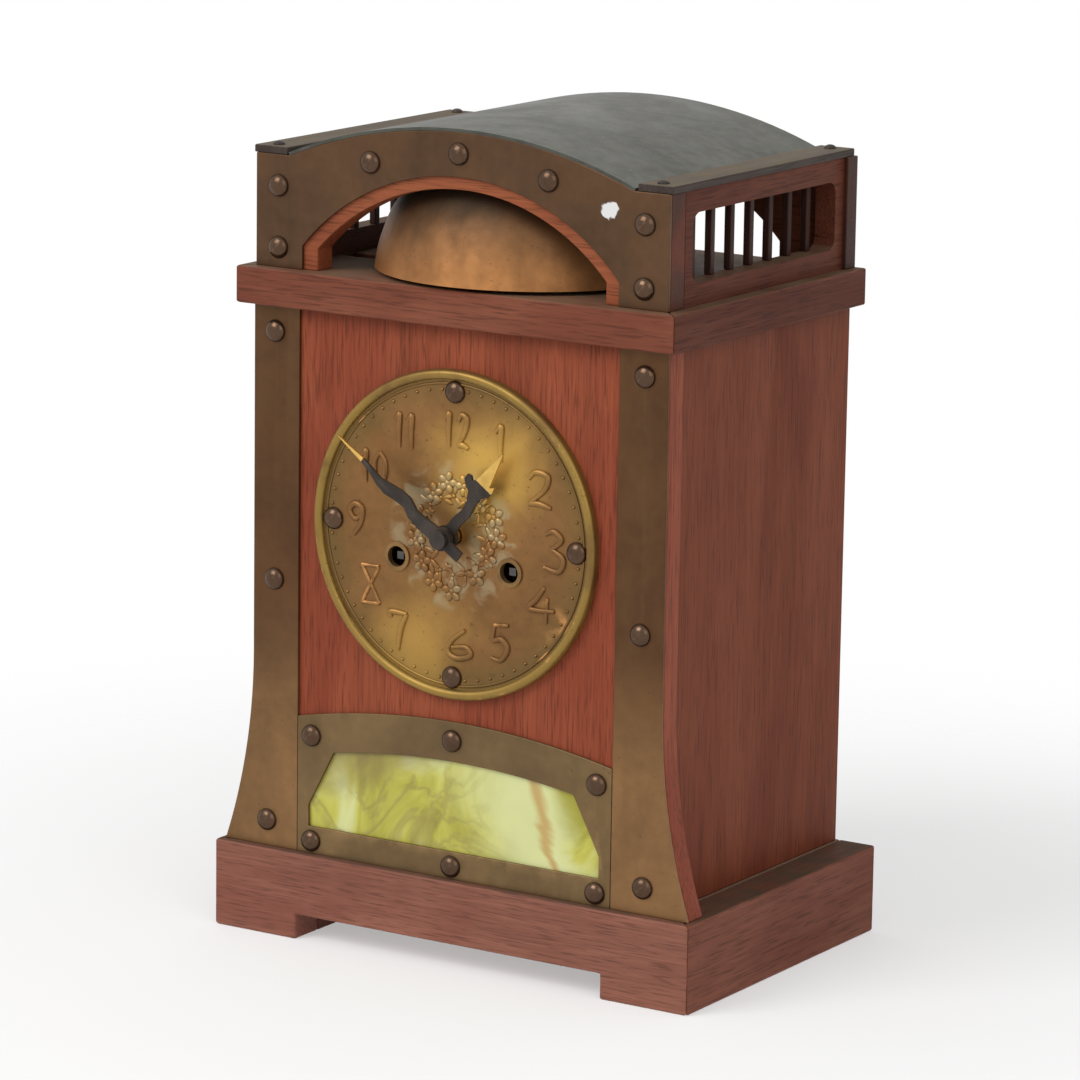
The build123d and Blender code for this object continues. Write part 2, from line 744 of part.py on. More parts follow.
def make_cornice():
    """Cornice rails and the deck inside them, notched for the hammer."""
    front, sides = mitred(CORNICE_HALF, CORNICE_FRONT, CORNICE_BACK, CASE_TOP, CORNICE_TOP, CORNICE_RAIL)
    keep("cornice_front", front)
    keep("cornice_sides", sides)
    inner = CORNICE_HALF - CORNICE_RAIL
    deck = box(-inner, inner, CORNICE_FRONT + CORNICE_RAIL, CORNICE_BACK, CASE_TOP, CORNICE_TOP)
    notch = box(
        -inner - PAST,
        HAMMER_X + HAMMER_SLOT_RIGHT,
        HAMMER_Y - HAMMER_SLOT_HALF,
        HAMMER_Y + HAMMER_SLOT_HALF,
        CASE_TOP - PAST,
        CORNICE_TOP + PAST,
    )
    keep("bell_deck", deck - notch - rod_z(0, BELL_Y, POST_R, CORNICE_TOP - POST_DEPTH, CORNICE_TOP + PAST))


def make_belfry():
    """Arched boards and grilles of the bell chamber."""
    front = belfry_outline(BELFRY_HALF, BOARD_Y0, BOARD_Y1) - wood_opening(BOARD_Y0, BOARD_Y1)
    front = drill(front, BELFRY_STUDS, STUD_HOLE_R, BOARD_Y0 - PAST, BRASS_T + STUD_PIN_L)
    keep("belfry_front_board", front)
    back = belfry_outline(BACK_BOARD_HALF, BACK_BOARD_Y0, BACK_BOARD_Y1)
    keep("belfry_back_board", back - wood_opening(BACK_BOARD_Y0, BACK_BOARD_Y1))
    inner = BELFRY_HALF - SIDE_T
    mid = (GRILLE_Y0 + GRILLE_Y1) / 2
    slats = []
    for name, s in (("belfry_side_left", -1), ("belfry_side_right", 1)):
        frame = side_box(s, inner, BELFRY_HALF, BOARD_Y1, BACK_BOARD_Y0, CORNICE_TOP, SHOULDER_Z)
        hole = side_box(s, inner - PAST, BELFRY_HALF + PAST, GRILLE_Y0, GRILLE_Y1, GRILLE_Z0, GRILLE_Z1)
        keep(name, frame - fillet(hole.edges().filter_by(Axis.X), GRILLE_R))
        for k in range(SLAT_COUNT):
            y = mid + (k - (SLAT_COUNT - 1) / 2) * SLAT_PITCH
            slat = side_box(s, inner, inner + SLAT_D, y - SLAT_W / 2, y + SLAT_W / 2, GRILLE_Z0, GRILLE_Z1)
            slats.append(slat)
    keep("grille_slats", slats)


def make_roof():
    """Curved sheet, flat battens and their nails."""
    radius = (ARCH_HALF**2 + ARCH_RISE**2) / (2 * ARCH_RISE)
    grow = (radius + SHEET_T) / radius
    centre = ARCH_CROWN - radius
    outer = (grow * ARCH_HALF, centre + grow * (SHOULDER_Z - centre))
    top = ((0.0, ARCH_CROWN + SHEET_T), (-outer[0], outer[1]))
    under = ((0.0, ARCH_CROWN), (ARCH_HALF, SHOULDER_Z))
    start = (ARCH_HALF, SHOULDER_Z)
    keep("roof_sheet", arched([start, outer, top, (-ARCH_HALF, SHOULDER_Z), under], 0.0, BACK_BOARD_Y1))
    batten_top = SHOULDER_Z + BATTEN_T
    across = (BATTEN_IN + BATTEN_OUT) / 2
    battens = []
    nails = []
    for s in (-1, 1):
        strip = side_box(s, BATTEN_IN, BATTEN_OUT, BATTEN_FRONT, BATTEN_BACK, SHOULDER_Z, batten_top)
        for y in (NAIL_INSET, BATTEN_BACK - NAIL_INSET):
            strip = strip - rod_z(s * across, y, NAIL_R + RUN_GAP, SHOULDER_Z - PAST, batten_top + PAST)
            head = rod_z(s * across, y, NAIL_HEAD_R, batten_top, batten_top + NAIL_HEAD_H)
            nails.append(fuse(head, rod_z(s * across, y, NAIL_R, SHOULDER_Z, batten_top + NAIL_HEAD_H / 2)))
        battens.append(strip)
    keep("roof_battens", battens)
    keep("batten_nails", nails)


def stud(at, face, pin):
    """Dome-headed stud with its pin."""
    radius = (STUD_R**2 + STUD_H**2) / (2 * STUD_H)
    ball = Pos(at[0], face + radius - STUD_H, at[1]) * Sphere(radius)
    head = ball & rod_y(at, radius + PAST, face - STUD_H - PAST, face)
    return fuse(head, rod_y(at, STUD_PIN_R, face - STUD_H / 4, face + pin))


def make_brass():
    """Plates, straps, glass and all studs."""
    plate = belfry_outline(BELFRY_HALF, 0.0, BRASS_T)
    plate = plate - vault(
        PLATE_OPEN_HALF, CORNICE_TOP - PAST, PLATE_SPRING, PLATE_CROWN, -PAST, BRASS_T + PAST
    )
    keep("belfry_plate", drill(plate, BELFRY_STUDS, STUD_HOLE_R, -PAST, BRASS_T + PAST))
    for name, s in (("strap_left", -1), ("strap_right", 1)):
        foot = [(s * STRAP_INNER, PLINTH_H), (s * (CASE_HALF + FLARE_OUT), PLINTH_H)]
        edge = [(flare_mid(s), (s * CASE_HALF, FLARE_TOP)), (s * CASE_HALF, CASE_TOP)]
        strap = arched(foot + edge + [(s * STRAP_INNER, CASE_TOP)], 0.0, BRASS_T)
        keep(name, drill(strap, STRAP_STUDS, STUD_HOLE_R, -PAST, BRASS_T + PAST))
    frame = vault(PANEL_HALF, PLINTH_H, PANEL_SIDE_TOP, PANEL_CROWN, 0.0, BRASS_T)
    frame = frame - glass_outline(-PAST, BRASS_T + PAST)
    keep("panel_frame", drill(frame, PANEL_STUDS, STUD_HOLE_R, -PAST, BRASS_T + PAST))
    pane = glass_outline(BOARD_Y0, BOARD_Y0 + GLASS_T, GLASS_LAP)
    pane = drill(pane, PANEL_STUDS, STUD_PIN_R + 2 * GLASS_PLAY, 0.0, BOARD_Y0 + GLASS_T + PAST)
    keep("slag_glass", pane)
    studs = [stud(at, 0.0, STUD_PIN_L) for at in BELFRY_STUDS + STRAP_STUDS + PANEL_STUDS]
    keep("dome_studs", studs + [stud(at, DIAL_FACE, STUD_PIN_L - DIAL_FACE) for at in DIAL_STUDS])


def make_dial():
    """Dial with rolled rim and the winding hole grommets."""
    front = DIAL_RIM_FRONT - PAST
    back = BRASS_T + PAST
    inner = DIAL_R - DIAL_RIM_W
    ring = rod_y(CENTRE, DIAL_R, DIAL_RIM_FRONT, BRASS_T) - rod_y(CENTRE, inner, front, back)
    edges = ring.edges().filter_by(GeomType.CIRCLE).group_by(Axis.Y)[0]
    rolled = fillet(edges, DIAL_RIM_ROUND)
    dial = fuse(rod_y(CENTRE, DIAL_R - DIAL_RIM_W / 4, DIAL_FACE, BRASS_T), rolled)
    dial = dial - rod_y(CENTRE, DIAL_BORE_R, front, back)
    dial = drill(dial, DIAL_STUDS, STUD_HOLE_R, front, back)
    keep("dial_plate", drill(dial, (GOING, STRIKE), WIND_R, front, back))
    grommets = []
    for at in (GOING, STRIKE):
        flange = rod_y(at, WIND_R + GROMMET_FLANGE, DIAL_FACE - GROMMET_H, DIAL_FACE)
        sleeve = rod_y(at, WIND_R, DIAL_FACE - GROMMET_H / 2, BRASS_T)
        grommets.append(fuse(flange, sleeve) - rod_y(at, WIND_R - GROMMET_T, front, back))
    keep("winding_grommets", grommets)


def turned(points, reach, angle, y0, y1):
    """Hand outline drawn to a reach and turned clockwise from twelve."""
    a = math.radians(angle)
    scale = reach / max(u for u, v in points)
    outline = []
    for u, v in points:
        along = u * scale
        x = along * math.sin(a) - v * math.cos(a)
        outline.append((x, DIAL_Z + along * math.cos(a) + v * math.sin(a)))
    return prism(outline, y0, y1)


def make_hands():
    """Hands, their pipes and the nut."""
    nut_seat = FRONT_TIP + HAND_NUT_WALL
    minute_front = MINUTE_Y - HAND_T
    pipe = rod_y(CENTRE, CANNON_R, nut_seat, FRONT_PLATE_Y - 2 * END_GAP)
    leaves = pinion(CENTRE, MINUTE, CANNON_TEETH, MINUTE_MOD, CANNON_PINION_Y)
    bore = rod_y(CENTRE, CENTRE_ARBOR_R + RUN_GAP, HOUR_Y, FRONT_PLATE_Y)
    keep("cannon_pinion", fuse(pipe, leaves) - bore)
    hand = turned(MINUTE_SHAPE, DIAL_R - MINUTE_SHORT, MINUTE_ANGLE, minute_front, MINUTE_Y)
    hand = fuse(hand, rod_y(CENTRE, MINUTE_BOSS_R, minute_front, MINUTE_Y + HAND_BOSS_T))
    keep("minute_hand", hand - rod_y(CENTRE, CANNON_R, FRONT_TIP, 0.0))
    nut = rod_y(CENTRE, HAND_NUT_R, FRONT_TIP, minute_front)
    keep("hand_nut", nut - rod_y(CENTRE, CANNON_R, nut_seat, 0.0))
    hour_front = HOUR_Y - HAND_T
    tube = rod_y(CENTRE, HOUR_PIPE_R, hour_front, HOUR_WHEEL_Y[1])
    tube = fuse(tube, wheel(CENTRE, MINUTE, HOUR_TEETH, HOUR_MOD, HOUR_WHEEL_Y))
    tube = tube - rod_y(CENTRE, CANNON_R + RUN_GAP, hour_front - PAST, HOUR_WHEEL_Y[1] + PAST)
    keep("hour_wheel", tube - spokes(CENTRE, HOUR_CROSSING, HOUR_WHEEL_Y))
    hand = turned(HOUR_SHAPE, DIAL_R - HOUR_SHORT, HOUR_ANGLE, hour_front, HOUR_Y)
    hand = fuse(hand, rod_y(CENTRE, HOUR_BOSS_R, hour_front, HOUR_Y + HAND_BOSS_T))
    keep("hour_hand", hand - rod_y(CENTRE, HOUR_PIPE_R, hour_front - PAST, 0.0))
    disc = wheel(MINUTE, CENTRE, MINUTE_TEETH, MINUTE_MOD, MINUTE_WHEEL_Y)
    disc = disc - spokes(MINUTE, MINUTE_CROSSING, MINUTE_WHEEL_Y)
    pair = fuse(disc, pinion(MINUTE, CENTRE, MINUTE_PINION_TEETH, HOUR_MOD, MINUTE_PINION_Y))
    keep("minute_wheel", pair - rod_y(MINUTE, MINUTE_STUD_R + RUN_GAP, 0.0, FRONT_PLATE_Y))


def barrel(at, other, teeth_level, drum_level):
    """Spring barrel with its toothed flange, bored for the arbor."""
    drum = rod_y(at, BARREL_DRUM_R, *drum_level)
    body = fuse(drum, wheel(at, other, BARREL_TEETH, BARREL_MOD, teeth_level))
    return body - rod_y(at, WIND_ARBOR_R + RUN_GAP, FRONT_PLATE_Y, REAR_PLATE_Y)


def winder(at):
    """Winding arbor with square end, ratchet wheel and collar."""
    points = []
    step = 2 * math.pi / RATCHET_TEETH
    for k in range(RATCHET_TEETH):
        points.append(polar(at, RATCHET_R - RATCHET_TOOTH_H, k * step))
        points.append(polar(at, RATCHET_R, (k + RATCHET_STEEP) * step))
    half = WIND_SQUARE / 2
    return fuse(
        rod_y(at, WIND_ARBOR_R, WIND_ROUND_FRONT, ARBOR_Y1),
        prism(points, *RATCHET_Y),
        box(at[0] - half, at[0] + half, *WIND_SQUARE_Y, at[1] - half, at[1] + half),
        rod_y(at, WIND_COLLAR_R, RATCHET_Y[1], FRONT_PLATE_Y - END_GAP),
    )


def click_pivot(sign):
    """Place of the click stud beside a ratchet wheel."""
    return (sign * CLICK_X, DIAL_Z + CLICK_RISE)


def click(sign):
    """Pawl lying just clear of the ratchet teeth."""
    pivot = click_pivot(sign)
    at = (sign * WIND_X, DIAL_Z - WIND_DROP)
    tip = polar(at, RATCHET_R + CLICK_CLEAR, bearing(at, pivot) - sign * CLICK_LEAN)
    across = bearing(pivot, tip) + math.pi / 2
    corners = [
        polar(pivot, CLICK_ROOT_W / 2, across),
        polar(pivot, -CLICK_ROOT_W / 2, across),
        polar(tip, -CLICK_TIP_W / 2, across),
        polar(tip, CLICK_TIP_W / 2, across),
    ]
    body = fuse(prism(corners, *CLICK_Y), rod_y(pivot, CLICK_R, *CLICK_Y))
    return body - rod_y(pivot, CLICK_STUD_R + RUN_GAP, CLICK_Y[0] - PAST, CLICK_Y[1] + PAST)


def arbor(at, r):
    """Plain arbor running in both plates."""
    return rod_y(at, r, ARBOR_Y0, ARBOR_Y1)


def make_plates():
    """Plates, pillars, posts and the suspension cock."""
    runs = [(CENTRE, CENTRE_ARBOR_R), (ANCHOR, ANCHOR_ARBOR_R), (PIN, PIN_ARBOR_R), (HAMMER, HAMMER_ARBOR_R)]
    runs += [(at, SMALL_ARBOR_R) for at in (THIRD, ESCAPE, WARN, FLY)]
    runs += [(at, WIND_ARBOR_R) for at in (GOING, STRIKE)]
    heights = (PLATE_Z0 + PILLAR_END, PLATE_Z1 - PILLAR_END)
    corners = [(s * (PLATE_HALF - PILLAR_INSET), z) for s in (-1, 1) for z in heights]
    plates = []
    for y in (FRONT_PLATE_Y, BACK_PLATE_Y):
        plate = box(-PLATE_HALF, PLATE_HALF, y, y + PLATE_T, PLATE_Z0, PLATE_Z1)
        for at, r in runs:
            plate = plate - rod_y(at, r + RUN_GAP, y - PAST, y + PLATE_T + PAST)
        plates.append(plate)
    root = FRONT_PLATE_Y + PLATE_T / 5
    studs = [rod_y(MINUTE, MINUTE_STUD_R, MINUTE_PINION_Y[0] - PAST, root)]
    studs += [rod_y(click_pivot(s), CLICK_STUD_R, CLICK_Y[0] - STUD_FRONT, root) for s in (-1, 1)]
    keep("front_plate", fuse(plates[0], *studs))
    keep("back_plate", plates[1])
    keep("plate_pillars", [rod_y(at, PILLAR_R, FRONT_PLATE_Y + PLATE_T, BACK_PLATE_Y) for at in corners])
    keep("movement_posts", [rod_y(at, MOVEMENT_POST_R, BOARD_Y1, FRONT_PLATE_Y) for at in corners])
    top = ANCHOR[1] + COCK_TOP
    foot = box(-COCK_HALF, COCK_HALF, REAR_PLATE_Y, REAR_PLATE_Y + COCK_T, ANCHOR[1] + COCK_FOOT, top)
    arm_z = ANCHOR[1] + COCK_ARM_FOOT
    arm = box(-COCK_ARM_HALF, COCK_ARM_HALF, REAR_PLATE_Y, PENDULUM_Y + COCK_REACH, arm_z, top)
    keep("suspension_cock", fuse(foot, arm))


def make_going():
    """Going train up to the escape wheel."""
    keep("going_barrel", barrel(GOING, CENTRE, GOING_TEETH_Y, GOING_DRUM_Y))
    keep("going_winder", winder(GOING))
    keep("going_click", click(1))
    shaft = rod_y(CENTRE, CENTRE_ARBOR_R, HOUR_Y + 2 * END_GAP, ARBOR_Y1)
    leaves = pinion(CENTRE, GOING, CENTRE_PINION_TEETH, BARREL_MOD, CENTRE_PINION_Y)
    disc = wheel(CENTRE, THIRD, CENTRE_TEETH, CENTRE_MOD, CENTRE_WHEEL_Y)
    keep("centre_wheel", fuse(shaft, leaves, disc - spokes(CENTRE, CENTRE_CROSSING, CENTRE_WHEEL_Y)))
    leaves = pinion(THIRD, CENTRE, THIRD_PINION_TEETH, CENTRE_MOD, THIRD_PINION_Y)
    disc = wheel(THIRD, ESCAPE, THIRD_TEETH, THIRD_MOD, THIRD_WHEEL_Y)
    disc = disc - spokes(THIRD, THIRD_CROSSING, THIRD_WHEEL_Y)
    keep("third_wheel", fuse(arbor(THIRD, SMALL_ARBOR_R), leaves, disc))
    points = []
    for k in range(ESCAPE_TEETH):
        a = 2 * math.pi * k / ESCAPE_TEETH
        points += [polar(ESCAPE, ESCAPE_R - share * ESCAPE_TOOTH_H, a + d) for share, d in ESCAPE_SHAPE]
    disc = prism(points, *ESCAPE_WHEEL_Y) - spokes(ESCAPE, ESCAPE_CROSSING, ESCAPE_WHEEL_Y)
    leaves = pinion(ESCAPE, THIRD, ESCAPE_PINION_TEETH, THIRD_MOD, ESCAPE_PINION_Y)
    keep("escape_wheel", fuse(arbor(ESCAPE, SMALL_ARBOR_R), leaves, disc))


def make_pendulum():
    """Anchor with its crutch, and the pendulum on its spring."""
    axis = ANCHOR[1]
    span = math.radians(ANCHOR_HALF_SPAN)
    reach = ESCAPE_R * math.tan(span)
    pallet_x = reach * math.cos(span)
    pallet_z = axis - reach * math.sin(span)
    half = [
        (YOKE_HALF, axis - YOKE_FOOT),
        (pallet_x - PALLET_IN, pallet_z + PALLET_HEEL),
        (pallet_x + PALLET_OUT, pallet_z + PALLET_TIP),
        (pallet_x + PALLET_OUT, pallet_z + PALLET_TOP),
        (YOKE_HALF, axis + YOKE_TOP),
    ]
    yoke = prism(half + [(-x, z) for x, z in reversed(half)], *ANCHOR_Y)
    foot_z = axis - CRUTCH_L
    crutch = box(-CRUTCH_W / 2, CRUTCH_W / 2, *CRUTCH_Y, foot_z, axis)
    foot = box(-FORK_W / 2, FORK_W / 2, *CRUTCH_Y, foot_z, foot_z + FORK_H)
    fork = []
    for s in (-1, 1):
        x0 = s * FORK_PIN_X - FORK_PIN_W / 2
        fork.append(box(x0, x0 + FORK_PIN_W, CRUTCH_Y[0], PENDULUM_Y + FORK_REACH, foot_z, foot_z + FORK_H))
    shaft = rod_y(ANCHOR, ANCHOR_ARBOR_R, ARBOR_Y0, CRUTCH_Y[1])
    keep("anchor", fuse(shaft, yoke, crutch, foot, *fork))
    y0, y1 = PENDULUM_Y - SPRING_T / 2, PENDULUM_Y + SPRING_T / 2
    spring = box(-SPRING_W / 2, SPRING_W / 2, y0, y1, axis - SPRING_L, axis + SPRING_TOP)
    y0, y1 = PENDULUM_Y - ROD_T / 2, PENDULUM_Y + ROD_T / 2
    rod = box(-ROD_W / 2, ROD_W / 2, y0, y1, ROD_END_Z, axis - SPRING_L + PAST)
    keep("pendulum_rod", fuse(spring, rod))
    bob = rod_y((0.0, BOB_Z), BOB_R, PENDULUM_Y - BOB_T / 2, PENDULUM_Y + BOB_T / 2)
    bob = fillet(bob.edges().filter_by(GeomType.CIRCLE), BOB_ROUND)
    under = BOB_Z - BOB_R
    nut = rod_z(0.0, PENDULUM_Y, RATING_NUT_R, under - RATING_NUT_H, under + 2 * END_GAP)
    slot = box(-ROD_W / 2, ROD_W / 2, y0, y1, ROD_END_Z, axis)
    keep("pendulum_bob", fuse(bob, nut) - slot)


def make_strike():
    """Strike train and hammer."""
    keep("strike_barrel", barrel(STRIKE, PIN, STRIKE_TEETH_Y, STRIKE_DRUM_Y))
    keep("strike_winder", winder(STRIKE))
    keep("strike_click", click(-1))
    disc = wheel(PIN, WARN, PIN_TEETH, PIN_MOD, PIN_WHEEL_Y) - spokes(PIN, PIN_CROSSING, PIN_WHEEL_Y)
    places = [polar(PIN, PIN_RING_R, 2 * math.pi * k / PIN_COUNT) for k in range(PIN_COUNT)]
    pins = [rod_y(at, PIN_R, *PINS_Y) for at in places]
    leaves = pinion(PIN, STRIKE, PIN_PINION_TEETH, BARREL_MOD, PIN_PINION_Y)
    keep("pin_wheel", fuse(arbor(PIN, PIN_ARBOR_R), leaves, disc, *pins))
    disc = wheel(WARN, FLY, WARN_TEETH, WARN_MOD, WARN_WHEEL_Y) - spokes(WARN, WARN_CROSSING, WARN_WHEEL_Y)
    leaves = pinion(WARN, PIN, WARN_PINION_TEETH, PIN_MOD, WARN_PINION_Y)
    keep("warning_wheel", fuse(arbor(WARN, SMALL_ARBOR_R), leaves, disc))
    x, z = FLY
    vane = box(x - FLY_HALF, x + FLY_HALF, *FLY_VANE_Y, z - FLY_T / 2, z + FLY_T / 2)
    leaves = pinion(FLY, WARN, FLY_PINION_TEETH, WARN_MOD, FLY_PINION_Y)
    keep("fly", fuse(arbor(FLY, SMALL_ARBOR_R), vane, rod_y(FLY, FLY_HUB_R, *FLY_VANE_Y), leaves))
    half = HAMMER_ARM_W / 2
    arm = box(HAMMER_X - half, HAMMER_X + half, HAMMER_Y - half, HAMMER_Y + half, HAMMER_Z, HAMMER_HEAD_Z)
    place = Pos(HAMMER_X - HAMMER_HEAD_OUT, HAMMER_Y, HAMMER_HEAD_Z)
    head = place * Rot(0, 90, 0) * Cylinder(HAMMER_HEAD_R, HAMMER_HEAD_L)
    outline = [(HAMMER_X + x, HAMMER_Z + z) for x, z in HAMMER_TAIL]
    tail = prism(outline, HAMMER_Y - HAMMER_TAIL_T / 2, HAMMER_Y + HAMMER_TAIL_T / 2)
    hub = rod_y(HAMMER, HAMMER_HUB_R, HAMMER_Y - HAMMER_HUB_HALF, HAMMER_Y + HAMMER_HUB_HALF)
    keep("hammer", fuse(arbor(HAMMER, HAMMER_ARBOR_R), hub, arm, head, tail))


def make_bell():
    """Bell with its wall set inwards from the outside, on its post."""
    inner = []
    for r, z in BELL_PROFILE:
        share = z / BELL_H
        inner.append((r - BELL_T * (1 - BELL_TAPER * share), z - BELL_T * share))
    outside = Spline([(r, 0, BELL_RIM_Z + z) for r, z in BELL_PROFILE])
    inside = Spline([(r, 0, BELL_RIM_Z + z) for r, z in inner])
    crown = (0.0, 0.0, BELL_TOP)
    soffit = (0.0, 0.0, BELL_TOP - BELL_T)
    edges = [outside, Line(outside @ 1, crown), Line(crown, soffit), Line(soffit, inside @ 1)]
    edges += [inside, Line(inside @ 0, outside @ 0)]
    shell = Pos(0, BELL_Y, 0) * revolve(make_face(edges), Axis.Z)
    keep("bell", shell - rod_z(0, BELL_Y, POST_THREAD_R, BELL_TOP - 2 * BELL_T, BELL_TOP + PAST))
    shaft = rod_z(0, BELL_Y, POST_R, CORNICE_TOP - POST_DEPTH, BELL_TOP - BELL_T)
    thread = rod_z(0, BELL_Y, POST_THREAD_R, BELL_TOP - 2 * BELL_T, BELL_TOP + BELL_NUT_H + PAST)
    foot = rod_z(0, BELL_Y, POST_FOOT_R, CORNICE_TOP, CORNICE_TOP + POST_FOOT_H)
    keep("bell_post", fuse(shaft, thread, foot))
    nut = rod_z(0, BELL_Y, BELL_NUT_R, BELL_TOP, BELL_TOP + BELL_NUT_H)
    keep("bell_nut", nut - rod_z(0, BELL_Y, POST_THREAD_R, BELL_TOP - PAST, BELL_TOP + BELL_NUT_H + PAST))


def fixed_leaf(z):
    """Hinge leaf on the case with its two knuckles and the pin."""
    leaf_y = CASE_BACK + HINGE_LEAF_T
    left = HINGE_X - HINGE_LEAF_W
    leaf = box(left, HINGE_X - HINGE_SPLIT, CASE_BACK, leaf_y, z - HINGE_HALF, z + HINGE_HALF)
    room = KNUCKLE_END + HINGE_SPLIT
    notch = box(HINGE_X - KNUCKLE_CUT, HINGE_X, CASE_BACK - PAST, HINGE_Y + HINGE_R, z - room, z + room)
    parts = [rod_z(HINGE_X, HINGE_Y, HINGE_PIN_R, z - HINGE_HALF, z + HINGE_HALF)]
    for z0, z1 in ((z - HINGE_HALF, z - KNUCKLE_END), (z + KNUCKLE_END, z + HINGE_HALF)):
        web_y = CASE_BACK + HINGE_LEAF_T / 2
        parts.append(rod_z(HINGE_X, HINGE_Y, HINGE_R, z0, z1))
        parts.append(box(HINGE_X - KNUCKLE_WEB, HINGE_X - HINGE_SPLIT, web_y, HINGE_Y, z0, z1))
    return fuse(leaf - notch, *parts)


def moving_leaf(z):
    """Hinge leaf on the door with its middle knuckle."""
    leaf_y = CASE_BACK + HINGE_LEAF_T
    right = HINGE_X + HINGE_LEAF_W
    leaf = box(HINGE_X + HINGE_SPLIT, right, CASE_BACK, leaf_y, z - HINGE_HALF, z + HINGE_HALF)
    for z0, z1 in ((z - HINGE_HALF - PAST, z - KNUCKLE_HALF), (z + KNUCKLE_HALF, z + HINGE_HALF + PAST)):
        leaf = leaf - box(HINGE_X, HINGE_X + KNUCKLE_CUT, CASE_BACK - PAST, HINGE_Y + HINGE_R, z0, z1)
    knuckle = rod_z(HINGE_X, HINGE_Y, HINGE_R, z - KNUCKLE_HALF, z + KNUCKLE_HALF)
    web_y = CASE_BACK + HINGE_LEAF_T / 2
    web = box(
        HINGE_X + HINGE_SPLIT, HINGE_X + KNUCKLE_WEB, web_y, HINGE_Y, z - KNUCKLE_HALF, z + KNUCKLE_HALF
    )
    return fuse(leaf, knuckle, web) - rod_z(
        HINGE_X, HINGE_Y, HINGE_PIN_R + RUN_GAP, z - HINGE_HALF, z + HINGE_HALF
    )


def make_door():
    """Rear door with two hinges and a turn button."""
    z0, z1 = DOOR_Z0 + DOOR_GAP, DOOR_Z1 - DOOR_GAP
    keep("back_door", box(-SIDE_IN + DOOR_GAP, SIDE_IN - 2 * DOOR_GAP, DOOR_Y0, CASE_BACK, z0, z1))
    heights = (DOOR_Z0 + HINGE_INSET, DOOR_Z1 - HINGE_INSET)
    keep("case_hinge_leaves", [fixed_leaf(z) for z in heights])
    keep("door_hinge_leaves", [moving_leaf(z) for z in heights])
    x, z = BUTTON
    face = CASE_BACK + END_GAP
    plate = box(x - BUTTON_HALF, x + BUTTON_HALF, face, face + BUTTON_T, z - BUTTON_HALF, z + BUTTON_L)
    pin = rod_y(BUTTON, BUTTON_PIN_R, CASE_BACK - BUTTON_PIN_L, face + BUTTON_T / 2)
    knob = rod_y((x, z + BUTTON_KNOB_RISE), BUTTON_KNOB_R, face + BUTTON_T / 2, CASE_BACK + BUTTON_KNOB_H)
    keep("turn_button", fuse(plate, pin, knob))


make_plinth()
make_case()
make_cornice()
make_belfry()
make_roof()
make_brass()
make_dial()
make_hands()
make_plates()
make_going()
make_pendulum()
make_strike()
make_bell()
make_door()

for node, shapes in NODES.items():
    solids = []
    for shape in shapes:
        solids += list((Pos(0, Y_SHIFT, 0) * shape).solids())
    piece = solids[0] if len(solids) == 1 else Compound(children=solids)
    piece.label = node
    export_step(piece, "parts/" + node + ".step")
print(len(NODES), "nodes")
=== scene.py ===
"""Looks of a striking mantel clock with an open bell chamber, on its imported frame."""

import json
import logging
import math
from collections.abc import Callable, Iterable, Sequence
from dataclasses import dataclass
from enum import Enum

import bmesh
import bpy
from mathutils import Matrix, Vector

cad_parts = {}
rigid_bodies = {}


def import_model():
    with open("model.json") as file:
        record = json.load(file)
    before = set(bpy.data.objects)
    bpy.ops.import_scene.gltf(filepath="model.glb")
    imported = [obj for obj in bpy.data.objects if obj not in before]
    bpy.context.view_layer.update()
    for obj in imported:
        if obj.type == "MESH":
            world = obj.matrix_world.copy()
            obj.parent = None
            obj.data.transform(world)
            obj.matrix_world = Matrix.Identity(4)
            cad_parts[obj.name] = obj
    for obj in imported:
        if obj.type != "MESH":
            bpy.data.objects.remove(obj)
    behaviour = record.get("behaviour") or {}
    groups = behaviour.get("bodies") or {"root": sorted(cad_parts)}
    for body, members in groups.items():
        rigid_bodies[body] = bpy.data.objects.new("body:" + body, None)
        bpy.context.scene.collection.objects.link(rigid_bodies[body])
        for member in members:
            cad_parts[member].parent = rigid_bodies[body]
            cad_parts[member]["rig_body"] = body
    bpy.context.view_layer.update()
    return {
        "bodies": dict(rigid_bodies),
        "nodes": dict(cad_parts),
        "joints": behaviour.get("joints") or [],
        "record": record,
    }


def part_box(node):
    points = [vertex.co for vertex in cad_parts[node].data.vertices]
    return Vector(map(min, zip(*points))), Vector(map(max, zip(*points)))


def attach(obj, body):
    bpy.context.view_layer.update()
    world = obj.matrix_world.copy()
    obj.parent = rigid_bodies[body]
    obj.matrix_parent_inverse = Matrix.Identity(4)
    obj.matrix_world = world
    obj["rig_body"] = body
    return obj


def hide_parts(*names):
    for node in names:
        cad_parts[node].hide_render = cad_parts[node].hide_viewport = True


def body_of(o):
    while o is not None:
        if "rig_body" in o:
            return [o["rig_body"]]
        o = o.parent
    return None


LOG = logging.getLogger("mantel_clock")
MM = 0.001
SEED = 7
TURN = 2.0 * math.pi
QUARTER = math.pi / 2.0
WHITE = (1.0, 1.0, 1.0, 1.0)
# Gap and angle below which CAD facets count as one point or one face
WELD = 0.002 * MM
FLAT = math.radians(0.6)
# Range in which most values of a noise lie
NOISE_SPAN = (0.3, 0.7)

Socket = bpy.types.NodeSocket
Node = bpy.types.Node
Tree = bpy.types.NodeTree
Object = bpy.types.Object
Material = bpy.types.Material
Colour = tuple[float, float, float, float]
Point = tuple[float, float, float]
Pair = tuple[float, float]
Stroke = Sequence[Pair]


